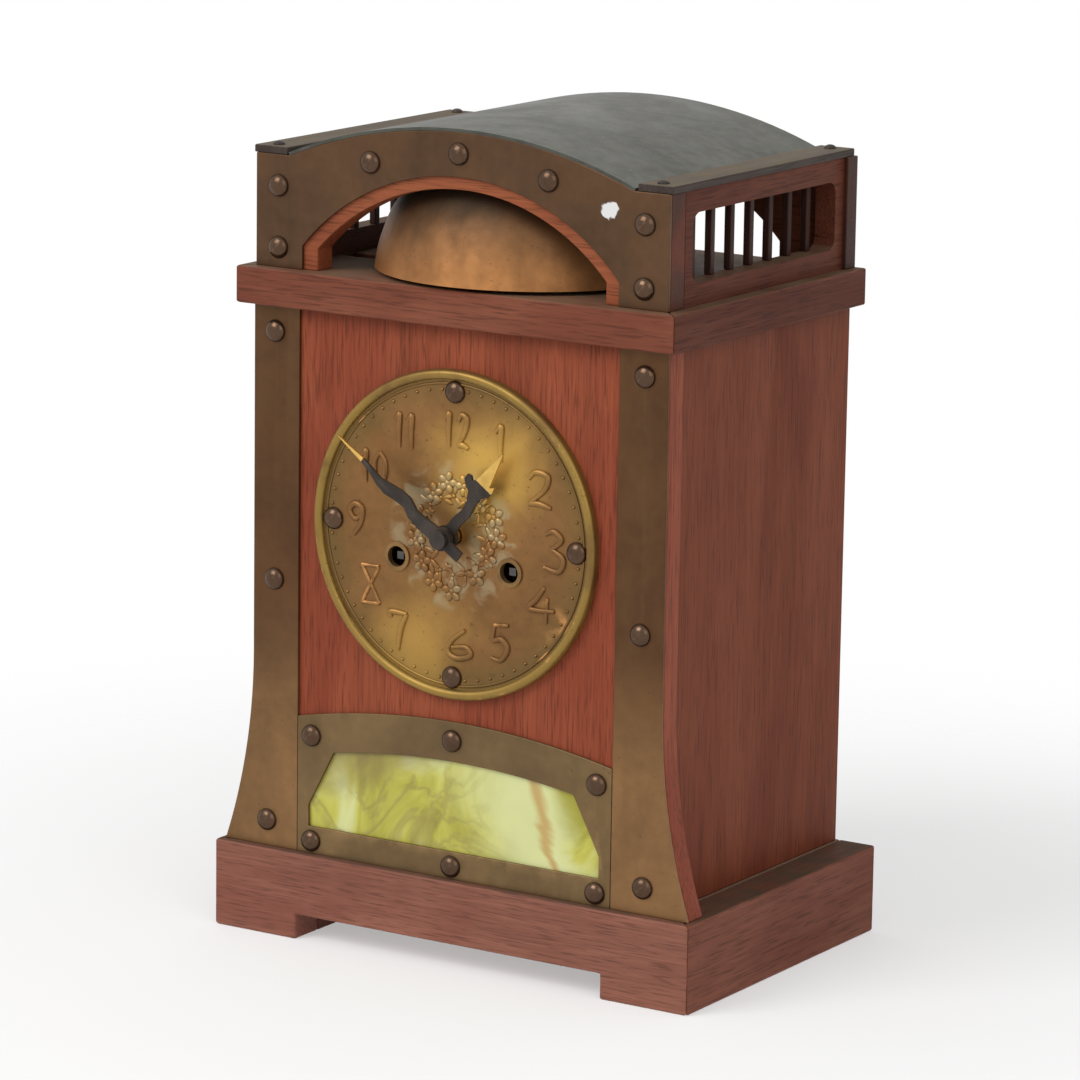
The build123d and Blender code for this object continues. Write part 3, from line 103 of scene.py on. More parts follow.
def srgb(red: float, green: float, blue: float) -> Colour:
    """Linear colour of a display colour whose channels run from 0 to 255."""

    def linear(channel: float) -> float:
        """One channel as linear light."""
        part = channel / 255.0
        return part / 12.92 if part <= 0.04045 else ((part + 0.055) / 1.055) ** 2.4

    return linear(red), linear(green), linear(blue), 1.0


def shade(colour: Colour, factor: float) -> Colour:
    """Lighter or darker version of a colour."""
    red, green, blue, alpha = colour
    return red * factor, green * factor, blue * factor, alpha


def swing(colour: Colour, amount: float) -> tuple[Colour, Colour]:
    """A darker and a lighter version of a colour, equally far from it."""
    return shade(colour, 1.0 - amount), shade(colour, 1.0 + amount)


class Slot(Enum):
    """Material slots of the record."""

    WOOD = "case_wood"
    BATTEN = "batten_wood"
    ROOF = "roof_metal"
    IRON = "iron"
    BRASS = "patinated_brass"
    STUD = "stud_bronze"
    DIAL = "dial_brass"
    GLASS = "slag_glass"
    BELL = "bell_metal"
    DARK_STEEL = "dark_steel"
    STEEL = "steel"
    MOVEMENT = "movement_brass"


class Grain(Enum):
    """Turn that lays the grain along an axis; the grain effect runs along Z."""

    X = (0.0, QUARTER, 0.0)
    Y = (QUARTER, 0.0, 0.0)
    Z = (0.0, 0.0, 0.0)


class Facing(Enum):
    """Turn that points a dome head, made towards -Y, to another side."""

    FRONT = (0.0, 0.0, 0.0)
    UP = (-QUARTER, 0.0, 0.0)
    BACK = (0.0, 0.0, math.pi)


@dataclass(frozen=True)
class Cloud:
    """Recipe of a noise; a small share along Z draws it out that way."""

    scale: float
    detail: float = 3.0
    warp: float = 0.0
    along: float = 1.0


class Graph:
    """Adds and wires the nodes of one node tree."""

    # Sockets of a Mix node that is set to colours: factor, first and second colour
    MIX_INPUTS = (0, 6, 7)
    MIX_RESULT = 2

    def __init__(self, tree: Tree) -> None:
        self.tree = tree

    def feed(self, socket: Socket, value: object) -> None:
        """Links a socket to another, or sets its value."""
        if isinstance(value, Socket):
            self.tree.links.new(value, socket)
        else:
            socket.default_value = value

    def add(self, kind: str, settings: dict | None = None, **inputs: object) -> Node:
        """Adds a node.

        Args:
            kind: Node type.
            settings: Properties of the node.
            inputs: Socket values by name, with an underscore for a space.

        Returns:
            The new node.
        """
        node = self.tree.nodes.new(kind)
        for key, value in (settings or {}).items():
            setattr(node, key, value)
        for key, value in inputs.items():
            self.feed(node.inputs[key.replace("_", " ")], value)
        return node

    def calc(self, operation: str, *values: object) -> Socket:
        """Result of one arithmetic step."""
        node = self.add("ShaderNodeMath", {"operation": operation})
        for socket, value in zip(node.inputs, values):
            self.feed(socket, value)
        return node.outputs[0]

    def times(self, first: object, second: object) -> Socket:
        """Product of two values."""
        return self.calc("MULTIPLY", first, second)

    def plus(self, value: object, factor: float, base: object) -> Socket:
        """A share of a value on top of a base."""
        return self.calc("MULTIPLY_ADD", value, factor, base)

    def axis(self, vector: object, place: int) -> Socket:
        """One coordinate, 0 for X and 2 for Z."""
        return self.add("ShaderNodeSeparateXYZ", Vector=vector).outputs[place]

    def stretch(self, vector: object, scale: Sequence[float]) -> Socket:
        """Coordinates scaled along each axis."""
        return self.add("ShaderNodeMapping", Vector=vector, Scale=scale).outputs[0]

    def noise(self, vector: object, cloud: Cloud) -> Socket:
        """Noise value at the coordinates."""
        if cloud.along != 1.0:
            vector = self.stretch(vector, (1.0, 1.0, cloud.along))
        recipe = {"Scale": cloud.scale, "Detail": cloud.detail, "Distortion": cloud.warp}
        return self.add("ShaderNodeTexNoise", Vector=vector, **recipe).outputs[0]

    def limits(
        self, value: object, low: float, high: float, start: float = 0.0, end: float = 1.0
    ) -> Socket:
        """Value eased from the range low to high onto start to end."""
        ends = {"From_Min": low, "From_Max": high, "To_Min": start, "To_Max": end}
        eased = {"interpolation_type": "SMOOTHSTEP"}
        return self.add("ShaderNodeMapRange", eased, Value=value, **ends).outputs[0]

    def ramp(self, value: object, *stops: tuple[float, Colour]) -> Socket:
        """Colour looked up along a ramp of stops."""
        node = self.add("ShaderNodeValToRGB", Fac=value)
        points = node.color_ramp.elements
        while len(points) < len(stops):
            points.new(0.5)
        for point, (place, colour) in zip(points, stops):
            point.position = place
            point.color = colour
        return node.outputs[0]

    def mix(self, amount: object, first: object, second: object) -> Socket:
        """Colour between two, by an amount from 0 to 1."""
        node = self.add("ShaderNodeMix", {"data_type": "RGBA"})
        for place, value in zip(self.MIX_INPUTS, (amount, first, second)):
            self.feed(node.inputs[place], value)
        return node.outputs[self.MIX_RESULT]

    def cover(self, mask: object, strength: float, first: object, second: object) -> Socket:
        """First colour with the second laid over it where the mask is."""
        return self.mix(self.times(mask, strength), first, second)

    def near(self, vector: object, point: Sequence[float]) -> Socket:
        """Distance of the coordinates from a point."""
        node = self.add("ShaderNodeVectorMath", {"operation": "DISTANCE"})
        self.feed(node.inputs[0], vector)
        self.feed(node.inputs[1], point)
        return node.outputs[1]

    def moved(self, shape: Node, **change: object) -> Node:
        """Scaled or turned copy of a shape, in a geometry tree."""
        return self.add("GeometryNodeTransform", Geometry=shape.outputs[0], **change)

    def spread(self, points: Socket, shape: Node, turn: Socket) -> Node:
        """A turned instance of a shape on each point, in a geometry tree."""
        inputs = {"Points": points, "Instance": shape.outputs[0], "Rotation": turn}
        return self.add("GeometryNodeInstanceOnPoints", **inputs)

    def use(self, group: Tree, **inputs: object) -> Node:
        """Adds a shader group to this tree and feeds it."""
        node = self.add("ShaderNodeGroup", {"node_tree": group})
        for key, value in inputs.items():
            self.feed(node.inputs[key], value)
        return node


class Effects:
    """Shader groups that several finishes share, each built on first use."""

    FIGURE = Cloud(46.0, 4.0, 0.8, along=0.08)
    FIBRE = Cloud(900.0, 4.0, along=0.025)
    DASHES = Cloud(1500.0, 2.0, along=0.05)
    MOTTLE = Cloud(24.0, 6.0, 1.0, along=0.4)
    DUST = Cloud(60.0, 5.0)
    BREAKS = Cloud(140.0, 4.0)
    BROAD = Cloud(26.0, 5.0, 0.8)
    FINE = Cloud(240.0, 4.0)
    SPECKS = Cloud(700.0, 2.0)
    STREAKS = Cloud(95.0, 3.0, 0.5, along=0.12)
    PORE_RANGE = (0.5, 0.68)
    MOTTLE_RANGE = (0.4, 0.66)
    SLOPE_RANGE = (0.55, 0.97)
    DUST_RANGE = (0.25, 0.7, 0.45, 1.0)
    EDGE_RANGE = (0.56, 0.66)
    BREAK_RANGE = (0.38, 0.62)
    SPECK_RANGE = (0.66, 0.74)
    STREAK_RANGE = (0.45, 0.75)
    FIBRE_SHARE = 0.5
    FINE_SHARE = 0.25

    def __init__(self) -> None:
        self.made: dict[str, Tree] = {}

    def _group(
        self,
        name: str,
        inputs: dict[str, str],
        outputs: Sequence[str],
        fill: Callable[[Graph, Node], Sequence],
    ) -> Tree:
        """Builds a group once.

        Args:
            name: Name of the group.
            inputs: Socket kinds by name.
            outputs: Names of the values that come out.
            fill: Makes the nodes and returns the sockets of the outputs.

        Returns:
            The group's node tree.
        """
        if name not in self.made:
            tree = bpy.data.node_groups.new(name, "ShaderNodeTree")
            for label, kind in inputs.items():
                tree.interface.new_socket(name=label, in_out="INPUT", socket_type=kind)
            for label in outputs:
                tree.interface.new_socket(name=label, in_out="OUTPUT", socket_type="NodeSocketFloat")
            graph = Graph(tree)
            found = fill(graph, graph.add("NodeGroupInput"))
            end = graph.add("NodeGroupOutput")
            for label, socket in zip(outputs, found):
                graph.feed(end.inputs[label], socket)
            self.made[name] = tree
            LOG.info("effect %s", name)
        return self.made[name]

    def grain(self) -> Tree:
        """Broad figure, fibres and open pores that run along Z."""

        def fill(graph: Graph, given: Node) -> Sequence:
            """Wires the figure, the fibres and the pores."""
            vector = given.outputs["Vector"]
            figure, fibre = graph.noise(vector, self.FIGURE), graph.noise(vector, self.FIBRE)
            pores = graph.limits(graph.noise(vector, self.DASHES), *self.PORE_RANGE)
            share = self.FIBRE_SHARE
            tone = graph.plus(fibre, share, graph.times(figure, 1.0 - share))
            height = graph.calc("SUBTRACT", fibre, pores)
            mottle = graph.limits(graph.noise(vector, self.MOTTLE), *self.MOTTLE_RANGE)
            return tone, pores, mottle, height

        outputs = ("Tone", "Pores", "Mottle", "Height")
        return self._group("Wood grain", {"Vector": "NodeSocketVector"}, outputs, fill)

    def dust(self) -> Tree:
        """Dust that settles on faces that look up."""

        def fill(graph: Graph, given: Node) -> Sequence:
            """Wires the slope and the unevenness."""
            slope = graph.axis(given.outputs["Normal"], 2)
            flat = graph.limits(slope, *self.SLOPE_RANGE)
            patches = graph.noise(given.outputs["Vector"], self.DUST)
            cloud = graph.limits(patches, *self.DUST_RANGE)
            return (graph.times(flat, cloud),)

        kinds = {"Vector": "NodeSocketVector", "Normal": "NodeSocketVector"}
        return self._group("Settled dust", kinds, ("Mask",), fill)

    def wear(self) -> Tree:
        """Rubbed edges, broken up along their length."""

        def fill(graph: Graph, given: Node) -> Sequence:
            """Wires the edge and its breaks."""
            edge = graph.limits(given.outputs["Edge"], *self.EDGE_RANGE)
            gaps = graph.noise(given.outputs["Vector"], self.BREAKS)
            breaks = graph.limits(gaps, *self.BREAK_RANGE)
            return (graph.times(edge, breaks),)

        kinds = {"Vector": "NodeSocketVector", "Edge": "NodeSocketFloat"}
        return self._group("Edge wear", kinds, ("Mask",), fill)

    def patina(self) -> Tree:
        """Blotches, fine specks and soft vertical streaks of old metal."""

        def fill(graph: Graph, given: Node) -> Sequence:
            """Wires the three scales of unevenness."""
            vector = given.outputs["Vector"]
            broad, fine = graph.noise(vector, self.BROAD), graph.noise(vector, self.FINE)
            share = self.FINE_SHARE
            blotch = graph.plus(fine, share, graph.times(broad, 1.0 - share))
            specks = graph.limits(graph.noise(vector, self.SPECKS), *self.SPECK_RANGE)
            streak = graph.limits(graph.noise(vector, self.STREAKS), *self.STREAK_RANGE)
            return blotch, specks, streak

        return self._group("Patina", {"Vector": "NodeSocketVector"}, ("Blotch", "Specks", "Streak"), fill)


@dataclass
class Bench:
    """Working parts of a material while a finish wires it."""

    material: Material
    graph: Graph
    place: Socket
    normal: Socket
    edge: Socket
    shader: Node

    @classmethod
    def start(cls, name: str) -> "Bench":
        """A new material with its coordinates and its shader."""
        material = bpy.data.materials.new(name)
        material.use_nodes = True
        graph = Graph(material.node_tree)
        shader = material.node_tree.nodes["Principled BSDF"]
        coordinates = graph.add("ShaderNodeTexCoord")
        geometry = graph.add("ShaderNodeNewGeometry")
        return cls(
            material,
            graph,
            coordinates.outputs["Object"],
            coordinates.outputs["Normal"],
            geometry.outputs["Pointiness"],
            shader,
        )

    def bump(self, height: Socket, strength: float, depth: float) -> None:
        """Gives the shader a fine relief of a depth in metres."""
        bump = self.graph.add("ShaderNodeBump", Strength=strength, Distance=depth, Height=height)
        self.graph.feed(self.shader.inputs["Normal"], bump.outputs[0])

    def aged(self, effects: Effects, tone: Socket, rubbed: tuple[float, Colour]) -> Socket:
        """Tone with rubbed edges of a strength and colour."""
        edge = self.graph.use(effects.wear(), Vector=self.place, Edge=self.edge).outputs[0]
        return self.graph.cover(edge, rubbed[0], tone, rubbed[1])

    def settled(self, effects: Effects, amount: float) -> Socket:
        """Mask of the dust that lies on the piece."""
        mask = self.graph.use(effects.dust(), Vector=self.place, Normal=self.normal).outputs[0]
        return self.graph.times(mask, amount)

    def set(self, **inputs: object) -> None:
        """Sets or feeds sockets of the shader by name."""
        for key, value in inputs.items():
            self.graph.feed(self.shader.inputs[key.replace("_", " ")], value)


@dataclass(frozen=True)
class Finish:
    """Base of every finish."""

    name: str

    def wire(self, bench: Bench, effects: Effects) -> None:
        """Wires the material on the bench."""
        raise NotImplementedError


@dataclass(frozen=True)
class Wood(Finish):
    """Stained and waxed hardwood with open pores."""

    grain: Grain
    tone: Colour
    figure: float = 0.24
    pore: float = 0.3
    depth: float = 0.55
    mottle: float = 0.5
    rubbed: float = 1.9
    dusty: Colour = srgb(128, 114, 90)
    dust: float = 0.2
    wear: float = 0.4
    gloss: float = 0.14
    stops: Point = (0.34, 0.5, 0.66)
    ruddy: Point = (0.66, 0.46, 0.46)
    sheen: Pair = (0.54, 0.42)
    dull: float = 0.4
    bump: float = 0.35
    relief: float = 0.12 * MM

    def figured(self, bench: Bench, grain: Node) -> Socket:
        """Colour of the figure before pores, wear and dust."""
        dark, light = swing(self.tone, self.figure)
        stops = zip(self.stops, (dark, self.tone, light))
        return bench.graph.ramp(grain.outputs["Tone"], *stops)

    def wire(self, bench: Bench, effects: Effects) -> None:
        """Wires grain, ruddy clouds, pores, rubbed edges and dust."""
        graph = bench.graph
        turned = graph.add("ShaderNodeMapping", Vector=bench.place, Rotation=self.grain.value)
        grain = graph.use(effects.grain(), Vector=turned.outputs[0])
        ruddy = (*(part * share for part, share in zip(self.tone, self.ruddy)), 1.0)
        tone = graph.cover(grain.outputs["Mottle"], self.mottle, self.figured(bench, grain), ruddy)
        pored = graph.cover(grain.outputs["Pores"], self.depth, tone, shade(self.tone, self.pore))
        rubbed = bench.aged(effects, pored, (self.wear, shade(self.tone, self.rubbed)))
        dust = bench.settled(effects, self.dust)
        sheen = graph.limits(grain.outputs["Tone"], *NOISE_SPAN, *self.sheen)
        bench.set(
            Base_Color=graph.mix(dust, rubbed, self.dusty),
            Roughness=graph.plus(dust, self.dull, sheen),
            Specular_IOR_Level=self.gloss,
        )
        bench.bump(grain.outputs["Height"], self.bump, self.relief)


@dataclass(frozen=True)
class EdgeStainedWood(Wood):
    """Board whose outer ends are stained dark."""

    half: float = 1.0
    stain: Colour = srgb(46, 30, 24)
    cover: float = 0.9
    fade: Pair = (3.0 * MM, 1.0 * MM)

    def figured(self, bench: Bench, grain: Node) -> Socket:
        """Figure that goes over into the stain at both ends."""
        graph = bench.graph
        across = graph.axis(bench.place, 0)
        ends = graph.limits(graph.calc("ABSOLUTE", across), *(self.half - gap for gap in self.fade))
        return graph.cover(ends, self.cover, super().figured(bench, grain), self.stain)


@dataclass(frozen=True)
class Metal(Finish):
    """Old metal with blotches, specks, streaks and rubbed edges."""

    body: Colour
    uneven: float = 0.24
    speck: Colour = srgb(48, 34, 24)
    rubbed: float = 2.0
    dusty: Colour = srgb(136, 126, 108)
    metallic: float = 0.6
    gloss: float = 0.4
    rough: Pair = (0.36, 0.5)
    specks: float = 0.4
    streaks: float = 0.3
    wear: float = 0.5
    dust: float = 0.15
    spread: float = 1.0
    run: float = 1.5
    bump: float = 0.2
    relief: float = 0.1 * MM

    def tone(self, bench: Bench, blotch: Socket) -> Socket:
        """Base colour before specks, wear and dust."""
        dark, light = swing(self.body, self.uneven)
        low, high = NOISE_SPAN
        return bench.graph.ramp(blotch, (low, dark), (0.5, self.body), (high, light))

    def wire(self, bench: Bench, effects: Effects) -> None:
        """Wires tone, streaks, specks, rubbed edges and dust."""
        graph = bench.graph
        place = graph.stretch(bench.place, (self.spread,) * 3)
        patina = graph.use(effects.patina(), Vector=place)
        blotch = patina.outputs["Blotch"]
        tone = self.tone(bench, blotch)
        dark, _ = swing(self.body, self.run * self.uneven)
        streaked = graph.cover(patina.outputs["Streak"], self.streaks, tone, dark)
        specked = graph.cover(patina.outputs["Specks"], self.specks, streaked, self.speck)
        rubbed = bench.aged(effects, specked, (self.wear, shade(self.body, self.rubbed)))
        dust = bench.settled(effects, self.dust)
        smooth, coarse = self.rough
        bench.set(
            Base_Color=graph.mix(dust, rubbed, self.dusty),
            Roughness=graph.limits(blotch, *NOISE_SPAN, coarse, smooth),
            Metallic=self.metallic,
            Specular_IOR_Level=self.gloss,
        )
        bench.bump(blotch, self.bump, self.relief)


@dataclass(frozen=True)
class ChippedBrass(Metal):
    """Brass plate with one pale chip in its lacquer."""

    chip: Point = (0.0, 0.0, 0.0)
    chip_half: float = 4.2 * MM
    chip_lean: Point = (2.4 * MM, 0.0, 1.6 * MM)
    chip_colour: Colour = srgb(222, 222, 220)
    chip_cloud: Cloud = Cloud(460.0)
    chip_ragged: float = 5.0 * MM
    chip_fade: Pair = (3.0 * MM, 2.0 * MM)

    def tone(self, bench: Bench, blotch: Socket) -> Socket:
        """Brass with the chip laid over it."""
        graph = bench.graph
        base = super().tone(bench, blotch)
        ends = [Vector(self.chip) + side * Vector(self.chip_lean) for side in (-1.0, 1.0)]
        reach = graph.calc("ADD", *(graph.near(bench.place, tuple(end)) for end in ends))
        ragged = graph.plus(graph.noise(bench.place, self.chip_cloud), self.chip_ragged, reach)
        inside = graph.limits(ragged, *(2.0 * self.chip_half + gap for gap in self.chip_fade))
        return graph.mix(inside, base, self.chip_colour)


@dataclass(frozen=True)
class PaintedSheen:
    """Painted highlight patch: place from the dial's centre, size and strength."""

    across: float
    up: float
    size: float
    strength: float


@dataclass(frozen=True)
class DialBrass(Metal):
    """Embossed brass with painted highlights in places, and pale deposits round its middle."""

    centre: Point = (0.0, 0.0, 0.0)
    # Colour of the painted highlights, which stand for glare off the embossed dish
    bright: Colour = srgb(206, 164, 80)
    deposit: Colour = srgb(176, 166, 132)
    tarnish: Colour = srgb(104, 86, 46)
    gilt: Colour = srgb(158, 128, 62)
    deposit_ring: Pair = (9.0 * MM, 27.0 * MM)
    tarnish_ring: Pair = (46.0 * MM, 62.0 * MM)
    rim: float = 61.0 * MM
    rim_fade: float = 0.5 * MM
    ragged: float = 20.0 * MM
    tarnish_cover: float = 0.6
    gilt_cover: float = 0.7
    deposit_cover: float = 0.4
    patches: Cloud = Cloud(34.0, 6.0, 0.6)
    crust: Cloud = Cloud(120.0, 6.0, 0.6)
    crust_range: Pair = (0.46, 0.62)
    gilt_range: Pair = (0.3, 0.55)
    sheen_ragged: float = 0.9
    sheen_fade: Pair = (1.3, 0.55)
    painted_sheens: tuple[PaintedSheen, ...] = (
        PaintedSheen(16.0 * MM, 27.0 * MM, 38.0 * MM, 0.9),
        PaintedSheen(-16.0 * MM, -46.0 * MM, 38.0 * MM, 0.45),
    )

    def tone(self, bench: Bench, blotch: Socket) -> Socket:
        """Copper brown with a tarnished edge, painted highlight patches, a gilt rim and deposits."""
        graph = bench.graph
        cloud = graph.noise(bench.place, self.patches)
        reach = graph.near(bench.place, self.centre)
        ragged = graph.plus(cloud, self.ragged, reach)
        dull = graph.limits(ragged, *(self.ragged / 2.0 + end for end in self.tarnish_ring))
        tone = graph.cover(dull, self.tarnish_cover, super().tone(bench, blotch), self.tarnish)
        # Each patch lays the bright colour in as a painted highlight of glare, not as a colour of the
        # brass
        for sheen in self.painted_sheens:
            spot = Vector(self.centre) + Vector((sheen.across, 0.0, sheen.up))
            reached = graph.near(bench.place, tuple(spot))
            away = graph.plus(cloud, self.sheen_ragged * sheen.size, reached)
            patch = graph.limits(away, *(share * sheen.size for share in self.sheen_fade))
            tone = graph.cover(patch, sheen.strength, tone, self.bright)
        outside = graph.limits(reach, self.rim - self.rim_fade, self.rim)
        gilded = graph.times(outside, graph.limits(cloud, *self.gilt_range))
        tone = graph.cover(gilded, self.gilt_cover, tone, self.gilt)
        start, end = self.deposit_ring
        ring = graph.times(graph.limits(reach, 0.6 * start, start), graph.limits(reach, 1.15 * end, end))
        crust = graph.limits(graph.noise(bench.place, self.crust), *self.crust_range)
        return graph.cover(graph.times(ring, crust), self.deposit_cover, tone, self.deposit)


@dataclass(frozen=True)
class GradedMetal(Metal):
    """Old metal whose tone changes from a lower to an upper level."""

    levels: Pair = (0.0, 1.0)
    # Default upper colour, used by the bell, where it stands partly for dirt and partly for painted shade
    # under the roof
    upper: Colour = srgb(58, 42, 28)
    waver: float = 12.0 * MM
    waves: Cloud = Cloud(40.0, 4.0)

    def tone(self, bench: Bench, blotch: Socket) -> Socket:
        """Blotched tone that goes over into the upper colour."""
        graph = bench.graph
        height = graph.axis(bench.place, 2)
        uneven = graph.plus(graph.noise(bench.place, self.waves), self.waver, height)
        dark = graph.ramp(blotch, *zip(NOISE_SPAN, swing(self.upper, self.uneven)))
        return graph.mix(graph.limits(uneven, *self.levels), super().tone(bench, blotch), dark)


@dataclass(frozen=True)
class SlagGlass(Finish):
    """Opal glass with swirls of yellow green, white and brown."""

    low: Vector
    high: Vector
    green: Colour = srgb(164, 158, 56)
    yellow: Colour = srgb(194, 190, 82)
    white: Colour = srgb(216, 220, 160)
    brown: Colour = srgb(184, 134, 62)
    smoke: Colour = srgb(128, 106, 74)
    slant: float = math.radians(-34.0)
    fold: Cloud = Cloud(34.0, 6.0, 1.6, along=0.45)
    drift: Cloud = Cloud(22.0, 4.0, 0.8)
    crease: Cloud = Cloud(26.0, 5.0, 2.2)
    pale_cover: float = 0.85
    streak_cover: float = 0.7
    vein_cover: float = 0.4
    corner_cover: float = 0.75
    polish: Pair = (0.16, 0.08)
    gloss: float = 0.35
    bump: float = 0.2
    relief: float = 0.4 * MM

    def wire(self, bench: Bench, effects: Effects) -> None:
        """Wires folds, dark veins, a pale side, one brown streak and the polish."""
        graph = bench.graph
        turn = (0.0, self.slant, 0.0)
        slanted = graph.add("ShaderNodeMapping", Vector=bench.place, Rotation=turn).outputs[0]
        folds = graph.noise(slanted, self.fold)
        cloud = graph.calc("SUBTRACT", graph.noise(slanted, self.drift), 0.5)
        base = graph.ramp(folds, (0.36, self.green), (0.53, self.yellow), (0.76, self.white))
        wide, tall = self.high.x - self.low.x, self.high.z - self.low.z
        share = graph.calc("DIVIDE", graph.calc("SUBTRACT", graph.axis(bench.place, 0), self.low.x), wide)
        rise = graph.calc("DIVIDE", graph.calc("SUBTRACT", graph.axis(bench.place, 2), self.low.z), tall)
        lean = graph.plus(rise, 0.13, graph.plus(cloud, 0.3, share))
        pale = graph.times(graph.limits(lean, 0.5, 0.8), graph.limits(lean, 0.99, 0.9))
        paled = graph.cover(pale, self.pale_cover, base, self.white)
        streak = graph.times(graph.limits(lean, 0.84, 0.87), graph.limits(lean, 0.91, 0.875))
        streaked = graph.cover(streak, self.streak_cover, paled, self.brown)
        crease = graph.calc("ABSOLUTE", graph.calc("SUBTRACT", graph.noise(slanted, self.crease), 0.5))
        veins = graph.times(graph.limits(crease, 0.08, 0.0), graph.limits(lean, 0.78, 0.45))
        above = graph.plus(cloud, 1.4, graph.calc("SUBTRACT", rise, lean))
        corner = graph.limits(above, 0.3, 0.75)
        smoked = graph.times(corner, self.corner_cover)
        veil = graph.calc("MAXIMUM", graph.times(veins, self.vein_cover), smoked)
        patina = graph.use(effects.patina(), Vector=bench.place)
        bench.set(
            Base_Color=graph.mix(veil, streaked, self.smoke),
            Roughness=graph.limits(patina.outputs["Blotch"], *NOISE_SPAN, *self.polish),
            Specular_IOR_Level=self.gloss,
        )
        bench.bump(folds, self.bump, self.relief)


class Paintbox:
    """Makes each finish into a material once."""

    def __init__(self) -> None:
        self.effects = Effects()
        self.made: dict[str, Material] = {}

    def material(self, finish: Finish) -> Material:
        """The material of a finish, wired on first use."""
        if finish.name not in self.made:
            bench = Bench.start(finish.name)
            finish.wire(bench, self.effects)
            self.made[finish.name] = bench.material
            LOG.info("finish %s", finish.name)
        return self.made[finish.name]


def placed(name: str, data: bpy.types.ID) -> Object:
    """New object in the scene for a mesh, curve, lamp or camera."""
    obj = bpy.data.objects.new(name, data)
    bpy.context.scene.collection.objects.link(obj)
    return obj


def evaluated(obj: Object) -> bpy.types.Mesh:
    """Mesh of an object with its modifiers applied."""
    graph = bpy.context.evaluated_depsgraph_get()
    return bpy.data.meshes.new_from_object(obj.evaluated_get(graph))


def around(count: int) -> list[float]:
    """Angles of equal steps through one turn."""
    return [TURN * step / count for step in range(count)]


